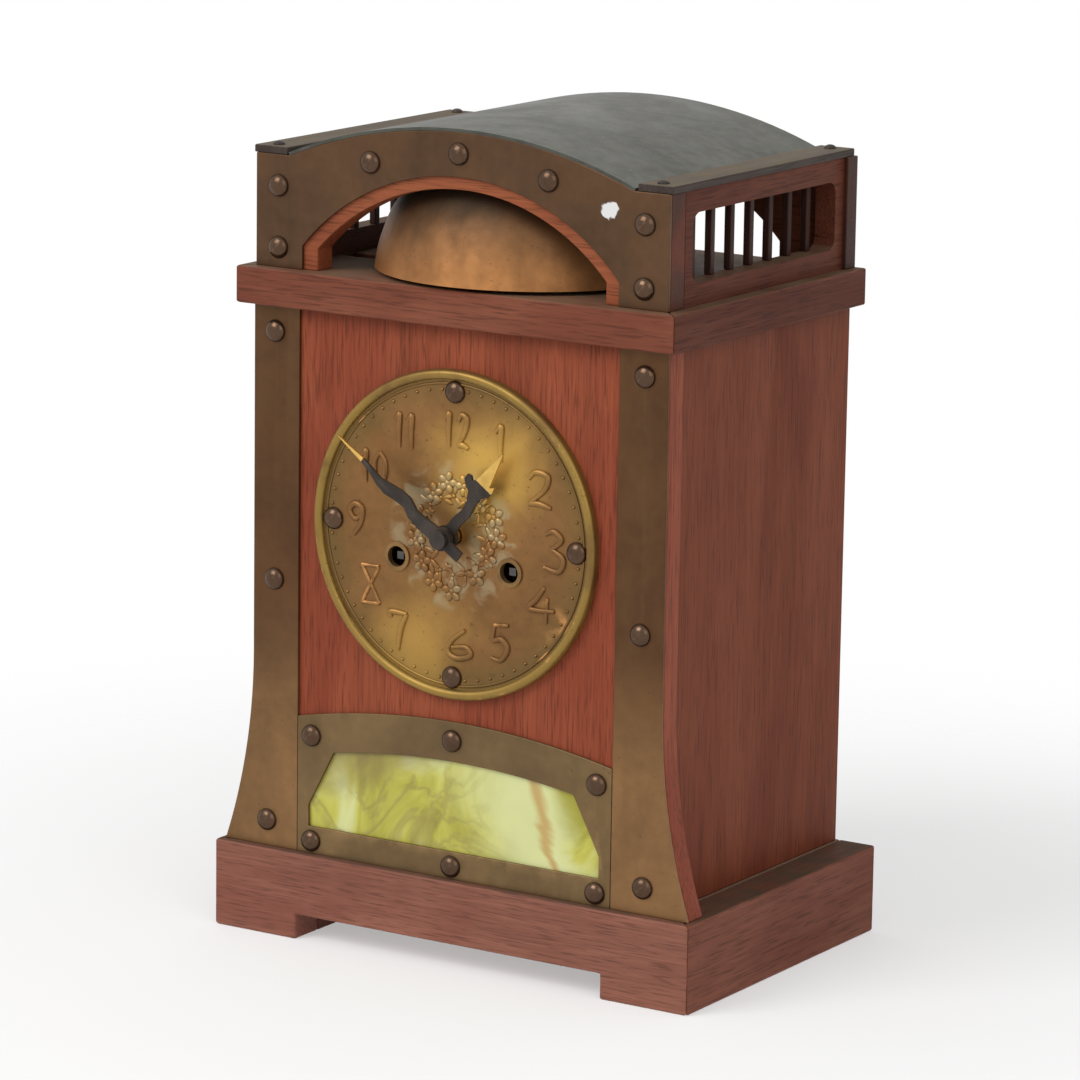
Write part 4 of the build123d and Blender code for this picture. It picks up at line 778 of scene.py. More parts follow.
class Patterns:
    """Geometry node trees for what repeats, baked to one mesh a piece."""

    DOME_MESH = {"Segments": 36, "Rings": 20, "Radius": 1.0}
    PETAL_MESH = {"Segments": 14, "Rings": 9, "Radius": 0.5}
    PETAL_REACH = 0.62
    BOSS_SHARE = 0.8

    def __init__(self) -> None:
        self.trees: dict[str, Tree] = {}

    def _tree(self, name: str, inputs: dict[str, str]) -> tuple[Graph, Node]:
        """A new tree with its named inputs and one geometry output."""
        tree = bpy.data.node_groups.new(name, "GeometryNodeTree")
        tree.interface.new_socket(name="Points", in_out="INPUT", socket_type="NodeSocketGeometry")
        for label, kind in inputs.items():
            tree.interface.new_socket(name=label, in_out="INPUT", socket_type=kind)
        tree.interface.new_socket(name="Pieces", in_out="OUTPUT", socket_type="NodeSocketGeometry")
        graph = Graph(tree)
        self.trees[name] = tree
        return graph, graph.add("NodeGroupInput")

    def _end(self, graph: Graph, given: Node, pieces: Socket) -> None:
        """Realizes the instances, smooths them and sets their material."""
        real = graph.add("GeometryNodeRealizeInstances", Geometry=pieces)
        smooth = graph.add("GeometryNodeSetShadeSmooth")
        graph.feed(smooth.inputs[0], real.outputs[0])
        finish = given.outputs["Finish"]
        dressed = graph.add("GeometryNodeSetMaterial", Geometry=smooth.outputs[0], Material=finish)
        graph.feed(graph.add("NodeGroupOutput").inputs["Pieces"], dressed.outputs[0])

    def domes(self) -> Tree:
        """Dome heads with flat backs, one on each point."""
        if "Dome heads" not in self.trees:
            kinds = {"Radius": "NodeSocketFloat", "Height": "NodeSocketFloat"}
            kinds |= {"Turn": "NodeSocketVector", "Finish": "NodeSocketMaterial"}
            graph, given = self._tree("Dome heads", kinds)
            ball = graph.add("GeometryNodeMeshUVSphere", **self.DOME_MESH)
            radius, height = given.outputs["Radius"], given.outputs["Height"]
            size = graph.add("ShaderNodeCombineXYZ", X=radius, Y=radius, Z=height)
            laid = graph.moved(ball, Scale=size.outputs[0], Rotation=(QUARTER, 0.0, 0.0))
            where = graph.add("GeometryNodeInputPosition").outputs[0]
            x, y, z = (graph.axis(where, place) for place in range(3))
            flat = graph.add("ShaderNodeCombineXYZ", X=x, Y=graph.calc("MINIMUM", y, 0.0), Z=z)
            head = graph.add("GeometryNodeSetPosition", Geometry=laid.outputs[0], Position=flat.outputs[0])
            spread = graph.spread(given.outputs["Points"], head, given.outputs["Turn"])
            self._end(graph, given, spread.outputs[0])
        return self.trees["Dome heads"]

    def blossoms(self) -> Tree:
        """Flower heads or leaf sprigs in low relief, turned at random about Y."""
        if "Blossoms" not in self.trees:
            kinds = {"Petals": "NodeSocketInt", "Length": "NodeSocketFloat", "Width": "NodeSocketFloat"}
            kinds |= {"Relief": "NodeSocketFloat", "Seed": "NodeSocketInt", "Finish": "NodeSocketMaterial"}
            graph, given = self._tree("Blossoms", kinds)
            reach = graph.times(given.outputs["Length"], self.PETAL_REACH)
            ring = graph.add("GeometryNodeMeshCircle", Vertices=given.outputs["Petals"], Radius=reach)
            ball = graph.add("GeometryNodeMeshUVSphere", **self.PETAL_MESH)
            length, width, relief = (given.outputs[name] for name in ("Length", "Width", "Relief"))
            size = graph.add("ShaderNodeCombineXYZ", X=length, Y=width, Z=relief)
            petal = graph.moved(ball, Scale=size.outputs[0])
            step = graph.calc("DIVIDE", TURN, given.outputs["Petals"])
            angle = graph.times(graph.add("GeometryNodeInputIndex").outputs[0], step)
            turn = graph.add("ShaderNodeCombineXYZ", Z=angle)
            petals = graph.spread(ring.outputs[0], petal, turn.outputs[0])
            low = graph.times(width, self.BOSS_SHARE)
            boss_size = graph.add("ShaderNodeCombineXYZ", X=low, Y=low, Z=relief)
            boss = graph.moved(ball, Scale=boss_size.outputs[0])
            whole = graph.add("GeometryNodeJoinGeometry")
            for part in (petals, boss):
                graph.feed(whole.inputs[0], part.outputs[0])
            facing = graph.moved(whole, Rotation=(QUARTER, 0.0, 0.0))
            spin = graph.add("FunctionNodeRandomValue", {"data_type": "FLOAT_VECTOR"})
            graph.feed(spin.inputs[1], (0.0, TURN, 0.0))
            graph.feed(spin.inputs["Seed"], given.outputs["Seed"])
            spread = graph.spread(given.outputs["Points"], facing, spin.outputs[0])
            self._end(graph, given, spread.outputs[0])
        return self.trees["Blossoms"]

    def bake(self, name: str, tree: Tree, points: Iterable[Vector], **values: object) -> Object:
        """Runs a tree over points and keeps the mesh that comes out.

        Args:
            name: Name of the new object.
            tree: Tree to run.
            points: Places of the pieces, in the row frame.
            values: Values of the tree's inputs by name.

        Returns:
            An object with plain geometry and no modifier.
        """
        seeds = bpy.data.meshes.new(name + "_points")
        seeds.from_pydata([tuple(point) for point in points], [], [])
        obj = placed(name, seeds)
        modifier = obj.modifiers.new(name, "NODES")
        modifier.node_group = tree
        for item in tree.interface.items_tree:
            if item.in_out == "INPUT" and item.name in values:
                modifier[item.identifier] = values[item.name]
        mesh = evaluated(obj)
        obj.modifiers.clear()
        obj.data = mesh
        bpy.data.meshes.remove(seeds)
        mesh.name = name
        return obj


@dataclass(frozen=True)
class Dome:
    """Size and side of a dome head."""

    radius: float
    height: float
    facing: Facing = Facing.FRONT


@dataclass(frozen=True)
class Sprig:
    """Petals of a flower head or leaf sprig, and the seed of its turns."""

    petals: int
    length: float
    width: float
    relief: float
    seed: int


@dataclass(frozen=True)
class Softening:
    """How the arrises of a CAD piece are eased."""

    width: float = 0.5 * MM
    steps: int = 2
    shortest: float = 1.3 * MM
    sharpest: float = math.radians(28.0)
    smooth: float = math.radians(40.0)


class Workshop:
    """Frame, finishes and patterns that every assembly works with."""

    def __init__(self, frame: dict) -> None:
        self.nodes: dict[str, Object] = frame["nodes"]
        self.paints = Paintbox()
        self.patterns = Patterns()

    def body(self, node: str) -> str:
        """Name of the body that carries a CAD node."""
        return body_of(self.nodes[node])[0]

    def islands(self, node: str) -> list[tuple[Vector, Vector]]:
        """Lowest and highest corner of each separate solid of a CAD node."""
        work = bmesh.new()
        work.from_mesh(self.nodes[node].data)
        bmesh.ops.remove_doubles(work, verts=work.verts, dist=WELD)
        left = set(work.verts)
        found = []
        while left:
            stack = [left.pop()]
            places = []
            while stack:
                vertex = stack.pop()
                places.append(vertex.co.copy())
                for link in vertex.link_edges:
                    other = link.other_vert(vertex)
                    if other in left:
                        left.remove(other)
                        stack.append(other)
            low = Vector([min(place[axis] for place in places) for axis in range(3)])
            high = Vector([max(place[axis] for place in places) for axis in range(3)])
            found.append((low, high))
        work.free()
        return sorted(found, key=lambda corners: tuple(round(value, 5) for value in corners[0]))


@dataclass
class Assembly:
    """Base of the sub-assemblies."""

    shop: Workshop

    def dress(self, finish: Finish, slot: Slot, *nodes: str) -> None:
        """Gives CAD pieces, shown as they are, a finish."""
        material = self.shop.paints.material(finish)
        for node in nodes:
            obj = self.shop.nodes[node]
            obj.data.materials.clear()
            obj.data.materials.append(material)
            LOG.info("piece %s in %s", node, finish.name)

    def adopt(self, obj: Object, finish: Finish | None, slot: Slot, body: str, *nodes: str) -> Object:
        """Makes a new piece part of the object.

        Args:
            obj: Piece whose mesh is already in place.
            finish: Its finish, or None where the mesh has its materials.
            slot: Material slot of the record; not used.
            body: CAD body that it moves with.
            nodes: CAD nodes that it stands for.

        Returns:
            The piece.
        """
        if finish is not None:
            obj.data.materials.clear()
            obj.data.materials.append(self.shop.paints.material(finish))
        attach(obj, body)
        if nodes:
            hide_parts(*nodes)
        LOG.info("piece %s on %s, %d faces", obj.name, body, len(obj.data.polygons))
        return obj

    def eased(self, node: str, ease: Softening) -> Object:
        """Copy of a CAD node's mesh with eased arrises, at the origin."""
        work = bmesh.new()
        work.from_mesh(self.shop.nodes[node].data)
        bmesh.ops.remove_doubles(work, verts=work.verts, dist=WELD)
        bmesh.ops.dissolve_limit(work, angle_limit=FLAT, verts=work.verts, edges=work.edges)
        long = [edge for edge in work.edges if edge.is_manifold and edge.calc_length() > ease.shortest]
        bmesh.ops.bevel(
            work,
            geom=[edge for edge in long if edge.calc_face_angle() > ease.sharpest],
            offset=ease.width,
            segments=ease.steps,
            profile=0.5,
            affect="EDGES",
            clamp_overlap=True,
        )
        bmesh.ops.recalc_face_normals(work, faces=work.faces)
        mesh = bpy.data.meshes.new(node + "_eased")
        work.to_mesh(mesh)
        work.free()
        mesh.shade_smooth()
        mesh.set_sharp_from_angle(angle=ease.smooth)
        obj = placed(node + "_eased", mesh)
        self.level(obj)
        return obj

    @staticmethod
    def level(obj: Object) -> None:
        """Lets large faces lead the normals, so that flat boards shade flat."""
        modifier = obj.modifiers.new("level", "WEIGHTED_NORMAL")
        modifier.keep_sharp = True
        mesh = evaluated(obj)
        rough = obj.data
        obj.modifiers.clear()
        obj.data = mesh
        mesh.name = rough.name
        bpy.data.meshes.remove(rough)

    def heads(
        self,
        name: str,
        dome: Dome,
        places: Iterable[Vector],
        finish: Finish,
        slot: Slot,
        node: str,
        *replaced: str,
    ) -> Object:
        """Dome heads on the body of a CAD node.

        Args:
            name: Name of the new piece.
            dome: Size and side of the heads.
            places: Middle of each head's flat back.
            finish: Their finish.
            slot: Material slot of the record, handed on to adopt, which does not use it.
            node: CAD node whose body carries them.
            replaced: CAD nodes that they stand for.

        Returns:
            The piece, already part of the object.
        """
        tree = self.shop.patterns.domes()
        size = {"Radius": dome.radius, "Height": dome.height, "Turn": dome.facing.value}
        material = self.shop.paints.material(finish)
        heads = self.shop.patterns.bake(name, tree, places, Finish=material, **size)
        return self.adopt(heads, None, slot, self.shop.body(node), *replaced)

    def soften(self, finish: Finish, slot: Slot, ease: Softening, *nodes: str) -> None:
        """Stands eased copies in for CAD nodes."""
        for node in nodes:
            self.adopt(self.eased(node, ease), finish, slot, self.shop.body(node), node)


LEDGE_GRIME = srgb(74, 66, 52)
PANEL_WOOD = Wood("Front panel wood", Grain.Z, srgb(146, 74, 49))
# Darker copy of the front panel wood for the sides: the darker tone is painted shade of faces turned from
# the key lamp
SIDE_WOOD = Wood("Side panel wood", Grain.Z, srgb(122, 64, 42), figure=0.16, depth=0.45, gloss=0.08)
PLINTH_FRONT_WOOD = Wood(
    "Plinth front wood", Grain.X, srgb(140, 91, 75), dusty=LEDGE_GRIME, dust=0.7, wear=0.7
)
# Darker copy of the plinth front wood: the darker tone is painted shade of side faces turned from the key
# lamp
PLINTH_SIDE_WOOD = Wood(
    "Plinth side wood", Grain.Y, srgb(122, 73, 56), dusty=LEDGE_GRIME, dust=0.8, wear=0.7, gloss=0.08
)
CORNICE_FRONT_WOOD = Wood("Cornice front wood", Grain.X, srgb(126, 73, 54), dust=0.5, wear=0.7)
# Darker copy of the cornice front wood: the darker tone is painted shade of side faces turned from the key
# lamp
CORNICE_SIDE_WOOD = Wood("Cornice side wood", Grain.Y, srgb(97, 53, 38), dust=0.5, wear=0.7, gloss=0.08)
# Very dark wood for the grille slats: the darkness is painted shade inside the bell chamber
SHADED_SLAT_WOOD = Wood("Grille slat wood", Grain.Z, srgb(56, 33, 25))
INNER_WOOD = Wood("Unwaxed inner wood", Grain.X, srgb(104, 66, 50), wear=0.1, dust=0.5)
DOOR_WOOD = Wood("Rear door wood", Grain.Z, srgb(106, 62, 47))
BLACK_BATTEN = Wood("Dark batten", Grain.Y, srgb(70, 60, 54), figure=0.35, rubbed=3.0, dust=0.5)
ROOF_METAL = Metal(
    "Grey roof sheet",
    srgb(66, 67, 60),
    uneven=0.14,
    speck=srgb(176, 174, 160),
    metallic=0.0,
    gloss=0.25,
    rough=(0.4, 0.52),
    specks=0.3,
    streaks=0.0,
    dust=0.1,
)
STRAP_BRASS = GradedMetal(
    "Strap brass", srgb(130, 96, 60), uneven=0.26, levels=(0.085, 0.15), upper=srgb(87, 57, 30)
)
FRAME_BRASS = Metal("Panel frame brass", srgb(114, 91, 59), uneven=0.26)
STUD_BRONZE = Metal("Stud bronze", srgb(86, 66, 51), rough=(0.17, 0.28), metallic=0.85, spread=4.0)
DARK_STEEL = Metal(
    "Dark hand steel",
    srgb(56, 49, 44),
    uneven=0.4,
    speck=srgb(120, 108, 92),
    rough=(0.42, 0.6),
    metallic=0.5,
    spread=3.0,
)
STEEL = Metal(
    "Movement steel",
    srgb(150, 148, 146),
    rubbed=1.4,
    metallic=0.95,
    rough=(0.24, 0.4),
    specks=0.3,
    spread=2.0,
)
IRON = Metal(
    "Black iron", srgb(58, 52, 48), uneven=0.4, speck=srgb(112, 66, 40), rough=(0.42, 0.6), spread=4.0
)
# Darker copy of the movement steel: the darkness is painted shade of the squares deep in the winding holes
SHADED_WINDING_STEEL = Metal(
    "Winding steel", srgb(84, 82, 80), rubbed=1.8, metallic=0.9, rough=(0.3, 0.45), spread=3.0
)
PLATE_BRASS = Metal(
    "Movement brass", srgb(190, 150, 78), rubbed=1.4, metallic=0.95, rough=(0.25, 0.4), spread=2.0
)
TIP_BRASS = Metal(
    "Bright hand tips", srgb(214, 174, 94), rubbed=1.3, metallic=0.85, rough=(0.24, 0.36), spread=3.0
)
GROMMET_BRASS = Metal("Grommet brass", srgb(126, 96, 58), rubbed=1.6, metallic=0.7, spread=4.0)
HINGE_BRASS = Metal("Hinge brass", srgb(150, 116, 64), rubbed=1.6, metallic=0.8, spread=3.0)


Boards = tuple[tuple[Finish, tuple[str, ...]], ...]


@dataclass
class Joinery(Assembly):
    """Base of the sub-assemblies that are only boards."""

    ease: Softening = Softening()
    boards: Boards = ()

    def build(self) -> None:
        """Every board, eased and in its wood."""
        for finish, nodes in self.boards:
            self.soften(finish, Slot.WOOD, self.ease, *nodes)


@dataclass
class Plinth(Joinery):
    """Stepped foot of the case."""

    ease: Softening = Softening(width=1.0 * MM, steps=3)
    boards: Boards = (
        (PLINTH_FRONT_WOOD, ("plinth_front",)),
        (PLINTH_SIDE_WOOD, ("plinth_sides",)),
        (INNER_WOOD, ("plinth_board",)),
    )


@dataclass
class Case(Joinery):
    """Flared front board, sides and rear rails."""

    ease: Softening = Softening(width=0.6 * MM)
    boards: Boards = (
        (PANEL_WOOD, ("front_board",)),
        (SIDE_WOOD, ("side_panel_left", "side_panel_right")),
        (INNER_WOOD, ("back_rails",)),
    )


@dataclass
class Cornice(Joinery):
    """Mitred rails under the bell chamber and the deck inside them."""

    ease: Softening = Softening(width=0.8 * MM, steps=3)
    boards: Boards = (
        (CORNICE_FRONT_WOOD, ("cornice_front",)),
        (CORNICE_SIDE_WOOD, ("cornice_sides",)),
        (INNER_WOOD, ("bell_deck",)),
    )


@dataclass
class Belfry(Assembly):
    """Arched boards, grilles and roof of the bell chamber."""

    ease: Softening = Softening(width=0.45 * MM)
    nail: Dome = Dome(2.4 * MM, 1.5 * MM, Facing.UP)

    def build(self) -> None:
        """Boards, slats, sheet, battens and nails."""
        tones = {"belfry_front_board": srgb(150, 84, 54), "belfry_back_board": srgb(116, 66, 47)}
        for node, tone in tones.items():
            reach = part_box(node)[1].x
            board = EdgeStainedWood("Ends of " + node, Grain.X, tone, half=reach)
            self.soften(board, Slot.WOOD, self.ease, node)
        # The sides of the bell chamber take the side wood whose darker tone is painted shade
        self.soften(CORNICE_SIDE_WOOD, Slot.WOOD, self.ease, "belfry_side_left", "belfry_side_right")
        # Slats in the dark wood that paints their shade
        self.soften(SHADED_SLAT_WOOD, Slot.WOOD, self.ease, "grille_slats")
        self.dress(ROOF_METAL, Slot.ROOF, "roof_sheet")
        self.soften(BLACK_BATTEN, Slot.BATTEN, self.ease, "roof_battens")
        sunk = Vector((0.0, 0.0, self.nail.height))
        corners = self.shop.islands("batten_nails")
        tops = [Vector(((a.x + b.x) / 2.0, (a.y + b.y) / 2.0, b.z)) for a, b in corners]
        backs = [top - sunk for top in tops]
        self.heads("nail_heads", self.nail, backs, IRON, Slot.IRON, "batten_nails", "batten_nails")


@dataclass
class BrassWork(Assembly):
    """Cut brass plates on the front and the studs that hold them."""

    ease: Softening = Softening(width=0.35 * MM, steps=2)
    stud: Dome = Dome(4.5 * MM, 2.8 * MM)
    chip_across: float = 68.0 * MM
    chip_below: float = 23.7 * MM

    def build(self) -> None:
        """Plates, straps, frame and studs."""
        low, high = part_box("belfry_plate")
        plate = ChippedBrass(
            "Bell chamber plate brass",
            srgb(87, 61, 39),
            uneven=0.34,
            chip=(self.chip_across, low.y, high.z - self.chip_below),
        )
        self.soften(plate, Slot.BRASS, self.ease, "belfry_plate")
        self.soften(STRAP_BRASS, Slot.BRASS, self.ease, "strap_left", "strap_right")
        self.soften(FRAME_BRASS, Slot.BRASS, self.ease, "panel_frame")
        corners = self.shop.islands("dome_studs")
        rise = self.stud.height
        backs = [Vector(((a.x + b.x) / 2.0, a.y + rise, (a.z + b.z) / 2.0)) for a, b in corners]
        self.heads("dome_heads", self.stud, backs, STUD_BRONZE, Slot.STUD, "dome_studs", "dome_studs")


@dataclass
class Window(Assembly):
    """Coloured glass in the lower frame."""

    ease: Softening = Softening(width=0.3 * MM)

    def build(self) -> None:
        """The pane."""
        glass = SlagGlass("Slag glass", *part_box("slag_glass"))
        self.soften(glass, Slot.GLASS, self.ease, "slag_glass")


class Digit(Enum):
    """Strokes of the raised numerals in a unit box."""

    ZERO = (((0.5, 1.0), (0.05, 0.72), (0.05, 0.28), (0.5, 0.0), (0.95, 0.28), (0.95, 0.72), (0.5, 1.0)),)
    ONE = (((0.1, 0.8), (0.55, 1.0), (0.5, 0.5), (0.55, 0.0)),)
    TWO = (
        ((0.05, 0.78), (0.35, 1.0), (0.85, 0.9), (0.7, 0.5), (0.05, 0.05)),
        ((0.05, 0.05), (0.5, 0.1), (1.0, 0.0)),
    )
    THREE = (
        ((0.1, 0.9), (0.5, 1.0), (0.85, 0.8), (0.4, 0.56)),
        ((0.4, 0.56), (0.95, 0.36), (0.75, 0.04), (0.05, 0.1)),
    )
    FOUR = (((0.6, 1.0), (0.3, 0.66), (0.02, 0.36), (1.0, 0.36)), ((0.72, 0.72), (0.66, 0.0)))
    FIVE = (
        ((0.95, 1.0), (0.2, 0.97)),
        ((0.2, 0.97), (0.12, 0.56), (0.6, 0.6), (0.9, 0.35), (0.55, 0.03), (0.05, 0.06)),
    )
    SIX = (((0.7, 1.0), (0.22, 0.6), (0.06, 0.2), (0.42, 0.0), (0.9, 0.16), (0.75, 0.42), (0.22, 0.36)),)
    SEVEN = (((0.04, 0.84), (0.06, 1.0), (0.98, 0.98)), ((0.98, 0.98), (0.62, 0.55), (0.48, 0.0)))
    EIGHT = (
        ((0.08, 1.0), (0.92, 1.0)),
        ((0.92, 1.0), (0.08, 0.0)),
        ((0.08, 0.0), (0.96, 0.02)),
        ((0.96, 0.02), (0.08, 1.0)),
    )
    NINE = (((0.85, 0.66), (0.45, 0.52), (0.1, 0.76), (0.42, 1.0), (0.88, 0.86), (0.8, 0.4), (0.35, 0.0)),)


@dataclass(frozen=True)
class Numeral:
    """One hour mark: figures and the box round them, from the dial's centre in millimetres."""

    figures: str
    across: float
    up: float
    width: float
    height: float


@dataclass
class Dial(Assembly):
    """Embossed dial with raised numerals, dots and a wreath."""

    stroke: float = 1.35 * MM
    dots: int = 60
    dot_ring: float = 57.2 * MM
    dot: Dome = Dome(0.7 * MM, 0.7 * MM)
    bead_ring: float = 59.5 * MM
    bead: float = 0.55 * MM
    bead_steps: int = 160
    bead_sides: int = 10
    recess: float = 2.2 * MM
    flowers: Stroke = (
        (-9.5, 15.5), (-3.0, 20.5), (5.0, 20.0), (11.0, 14.0), (18.5, 9.5), (20.0, 1.0), (15.5, -6.5),
        (10.5, -14.5), (-0.5, -22.0), (-9.0, -19.0), (-14.5, -12.0), (-17.5, -3.5), (-15.0, 6.0),
    )
    leaf_ring: float = 15.5 * MM
    leaves: int = 16
    flower: Sprig = Sprig(5, 4.2 * MM, 3.3 * MM, 2.4 * MM, SEED)
    leaf: Sprig = Sprig(3, 5.4 * MM, 2.2 * MM, 1.5 * MM, SEED + 1)
    thin: float = 0.62
    digit_step: float = 1.35
    marks: tuple[Numeral, ...] = (
        Numeral("12", 0.5, 41.2, 11.5, 13.0),
        Numeral("1", 21.0, 38.2, 6.0, 14.0),
        Numeral("2", 38.9, 22.6, 11.0, 13.5),
        Numeral("3", 45.9, -0.8, 9.5, 16.0),
        Numeral("4", 40.8, -22.2, 11.5, 14.0),
        Numeral("5", 22.0, -39.6, 8.5, 14.5),
        Numeral("6", 3.4, -42.6, 12.5, 11.5),
        Numeral("7", -25.2, -41.2, 8.0, 15.0),
        Numeral("8", -38.6, -24.2, 9.5, 15.0),
        Numeral("9", -45.6, 0.9, 7.5, 12.5),
        Numeral("10", -38.0, 22.5, 12.0, 12.5),
        Numeral("11", -23.0, 38.4, 10.0, 13.0),
    )

    def build(self) -> None:
        """Plate, grommets and the relief on the plate."""
        low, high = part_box("dial_plate")
        self.centre = Vector(((low.x + high.x) / 2.0, low.y + self.recess, (low.z + high.z) / 2.0))
        finish = DialBrass(
            "Embossed dial brass",
            srgb(132, 94, 54),
            uneven=0.3,
            rubbed=2.4,
            metallic=0.7,
            wear=0.9,
            streaks=0.1,
            centre=tuple(self.centre),
        )
        self.soften(finish, Slot.DIAL, Softening(width=0.15 * MM, shortest=0.2 * MM), "dial_plate")
        self.dress(GROMMET_BRASS, Slot.BRASS, "winding_grommets")
        self.adopt(self.numerals(), finish, Slot.DIAL, self.shop.body("dial_plate"))
        self.relief(finish)

    def at(self, across: float, up: float, lift: float = 0.0) -> Vector:
        """Point on the dial face, in metres from its centre."""
        return self.centre + Vector((across, -lift, up))

    @staticmethod
    def flowing(points: Stroke, steps: int = 8) -> list[Pair]:
        """Points along a smooth line through the given ones.

        Args:
            points: Points that the line passes.
            steps: Pieces between one point and the next.

        Returns:
            The line's points.
        """
        if len(points) < 3:
            return list(points)
        ends = [points[0], *points, points[-1]]
        line = []
        for first, start, end, last in zip(ends, ends[1:], ends[2:], ends[3:]):
            for step in range(steps):
                t = step / steps
                weights = (
                    -0.5 * t + t * t - 0.5 * t**3,
                    1.0 - 2.5 * t * t + 1.5 * t**3,
                    0.5 * t + 2.0 * t * t - 1.5 * t**3,
                    -0.5 * t * t + 0.5 * t**3,
                )
                four = (first, start, end, last)
                line.append(tuple(sum(w * p[k] for w, p in zip(weights, four)) for k in (0, 1)))
        return [*line, points[-1]]

    def numerals(self) -> Object:
        """All hour numerals as half-round ridges in one mesh."""
        curve = bpy.data.curves.new("hour_numerals", "CURVE")
        curve.dimensions = "3D"
        curve.bevel_depth = self.stroke
        curve.bevel_resolution = 3
        curve.use_fill_caps = True
        digits = list(Digit)
        for mark in self.marks:
            share = mark.width / ((len(mark.figures) - 1) * self.digit_step + 1.0)
            for order, figure in enumerate(mark.figures):
                left = mark.across - mark.width / 2.0 + order * share * self.digit_step
                for stroke in digits[int(figure)].value:
                    line = self.flowing(stroke)
                    rises = [(left + u * share, mark.up + (v - 0.5) * mark.height) for u, v in line]
                    self.ridge(curve, rises)
        obj = placed("hour_numerals", curve)
        mesh = evaluated(obj)
        bpy.data.objects.remove(obj)
        bpy.data.curves.remove(curve)
        mesh.shade_smooth()
        return placed("hour_numerals", mesh)

    def ridge(self, curve: bpy.types.Curve, points: Stroke) -> None:
        """Adds one raised line, thinner at its ends, in millimetres from the centre."""
        spline = curve.splines.new("POLY")
        spline.points.add(len(points) - 1)
        for order, (point, (across, up)) in enumerate(zip(spline.points, points)):
            point.co = (*self.at(across * MM, up * MM), 1.0)
            along = order / (len(points) - 1)
            point.radius = self.thin + (1.0 - self.thin) * math.sin(math.pi * along)

    def on_ring(self, radius: float, count: int) -> list[Vector]:
        """Points in equal steps round the dial's centre."""
        return [self.at(radius * math.sin(turn), radius * math.cos(turn)) for turn in around(count)]

    def relief(self, finish: Finish) -> None:
        """Dots, bead line, flowers and leaves."""
        dots = self.on_ring(self.dot_ring, self.dots)
        self.heads("minute_dots", self.dot, dots, finish, Slot.DIAL, "dial_plate")
        self.adopt(self.bead_line(), finish, Slot.DIAL, self.shop.body("dial_plate"))
        flowers = [self.at(across * MM, up * MM) for across, up in self.flowers]
        self.wreath("wreath_flowers", self.flower, flowers, finish)
        self.wreath("wreath_leaves", self.leaf, self.on_ring(self.leaf_ring, self.leaves), finish)

    def wreath(self, name: str, sprig: Sprig, places: Iterable[Vector], finish: Finish) -> None:
        """Flower heads or leaf sprigs on the dial.

        Args:
            name: Name of the new piece.
            sprig: Petals of each head.
            places: Middle of each head.
            finish: Their finish.
        """
        heads = self.shop.patterns.bake(
            name,
            self.shop.patterns.blossoms(),
            places,
            Petals=sprig.petals,
            Length=sprig.length,
            Width=sprig.width,
            Relief=sprig.relief,
            Seed=sprig.seed,
            Finish=self.shop.paints.material(finish),
        )
        self.adopt(heads, None, Slot.DIAL, self.shop.body("dial_plate"))

    def bead_line(self) -> Object:
        """Thin raised ring inside the rolled rim."""
        work = bmesh.new()
        rows = []
        for turn in around(self.bead_steps):
            row = []
            for tilt in around(self.bead_sides):
                reach = self.bead_ring + self.bead * math.cos(tilt)
                lift = self.bead * math.sin(tilt)
                row.append(work.verts.new(self.at(reach * math.sin(turn), reach * math.cos(turn), lift)))
            rows.append(row)
        for first, second in zip(rows, [*rows[1:], rows[0]]):
            for side in range(self.bead_sides):
                other = (side + 1) % self.bead_sides
                work.faces.new((first[side], first[other], second[other], second[side]))
        bmesh.ops.recalc_face_normals(work, faces=work.faces)
        mesh = bpy.data.meshes.new("dial_bead")
        work.to_mesh(mesh)
        work.free()
        mesh.shade_smooth()
        return placed("dial_bead", mesh)


@dataclass
class Hands(Assembly):
    """Dark steel hands with bright tips, and the nut that holds them."""

    ease: Softening = Softening(width=0.25 * MM, shortest=0.2 * MM)
    minute_bright: float = 45.5 * MM
    hour_bright: float = 28.0 * MM
    cut_gap: float = 0.001 * MM

    def build(self) -> None:
        """Both hands and the nut."""
        low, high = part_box("hand_nut")
        self.axis = (low + high) / 2.0
        for node, reach in (("minute_hand", self.minute_bright), ("hour_hand", self.hour_bright)):
            self.hand(node, reach)
        self.dress(DARK_STEEL, Slot.DARK_STEEL, "hand_nut")

    def hand(self, node: str, reach: float) -> None:
        """Eased hand whose far end is bright.

        Args:
            node: CAD node of the hand.
            reach: Distance from the axis at which the bright tip begins.
        """
        obj = self.eased(node, self.ease)
        work = bmesh.new()
        work.from_mesh(obj.data)
        far = max(work.verts, key=lambda vertex: (vertex.co - self.axis).xz.length)
        along = Vector((far.co.x - self.axis.x, 0.0, far.co.z - self.axis.z)).normalized()
        cut = self.axis + along * reach
        whole = [*work.verts, *work.edges, *work.faces]
        bmesh.ops.bisect_plane(work, geom=whole, dist=self.cut_gap, plane_co=cut, plane_no=along)
        for face in work.faces:
            face.material_index = int((face.calc_center_median() - cut).dot(along) > 0.0)
        work.to_mesh(obj.data)
        work.free()
        obj.data.set_sharp_from_angle(angle=self.ease.smooth)
        for finish in (DARK_STEEL, TIP_BRASS):
            obj.data.materials.append(self.shop.paints.material(finish))
        self.adopt(obj, None, Slot.DARK_STEEL, self.shop.body(node), node)


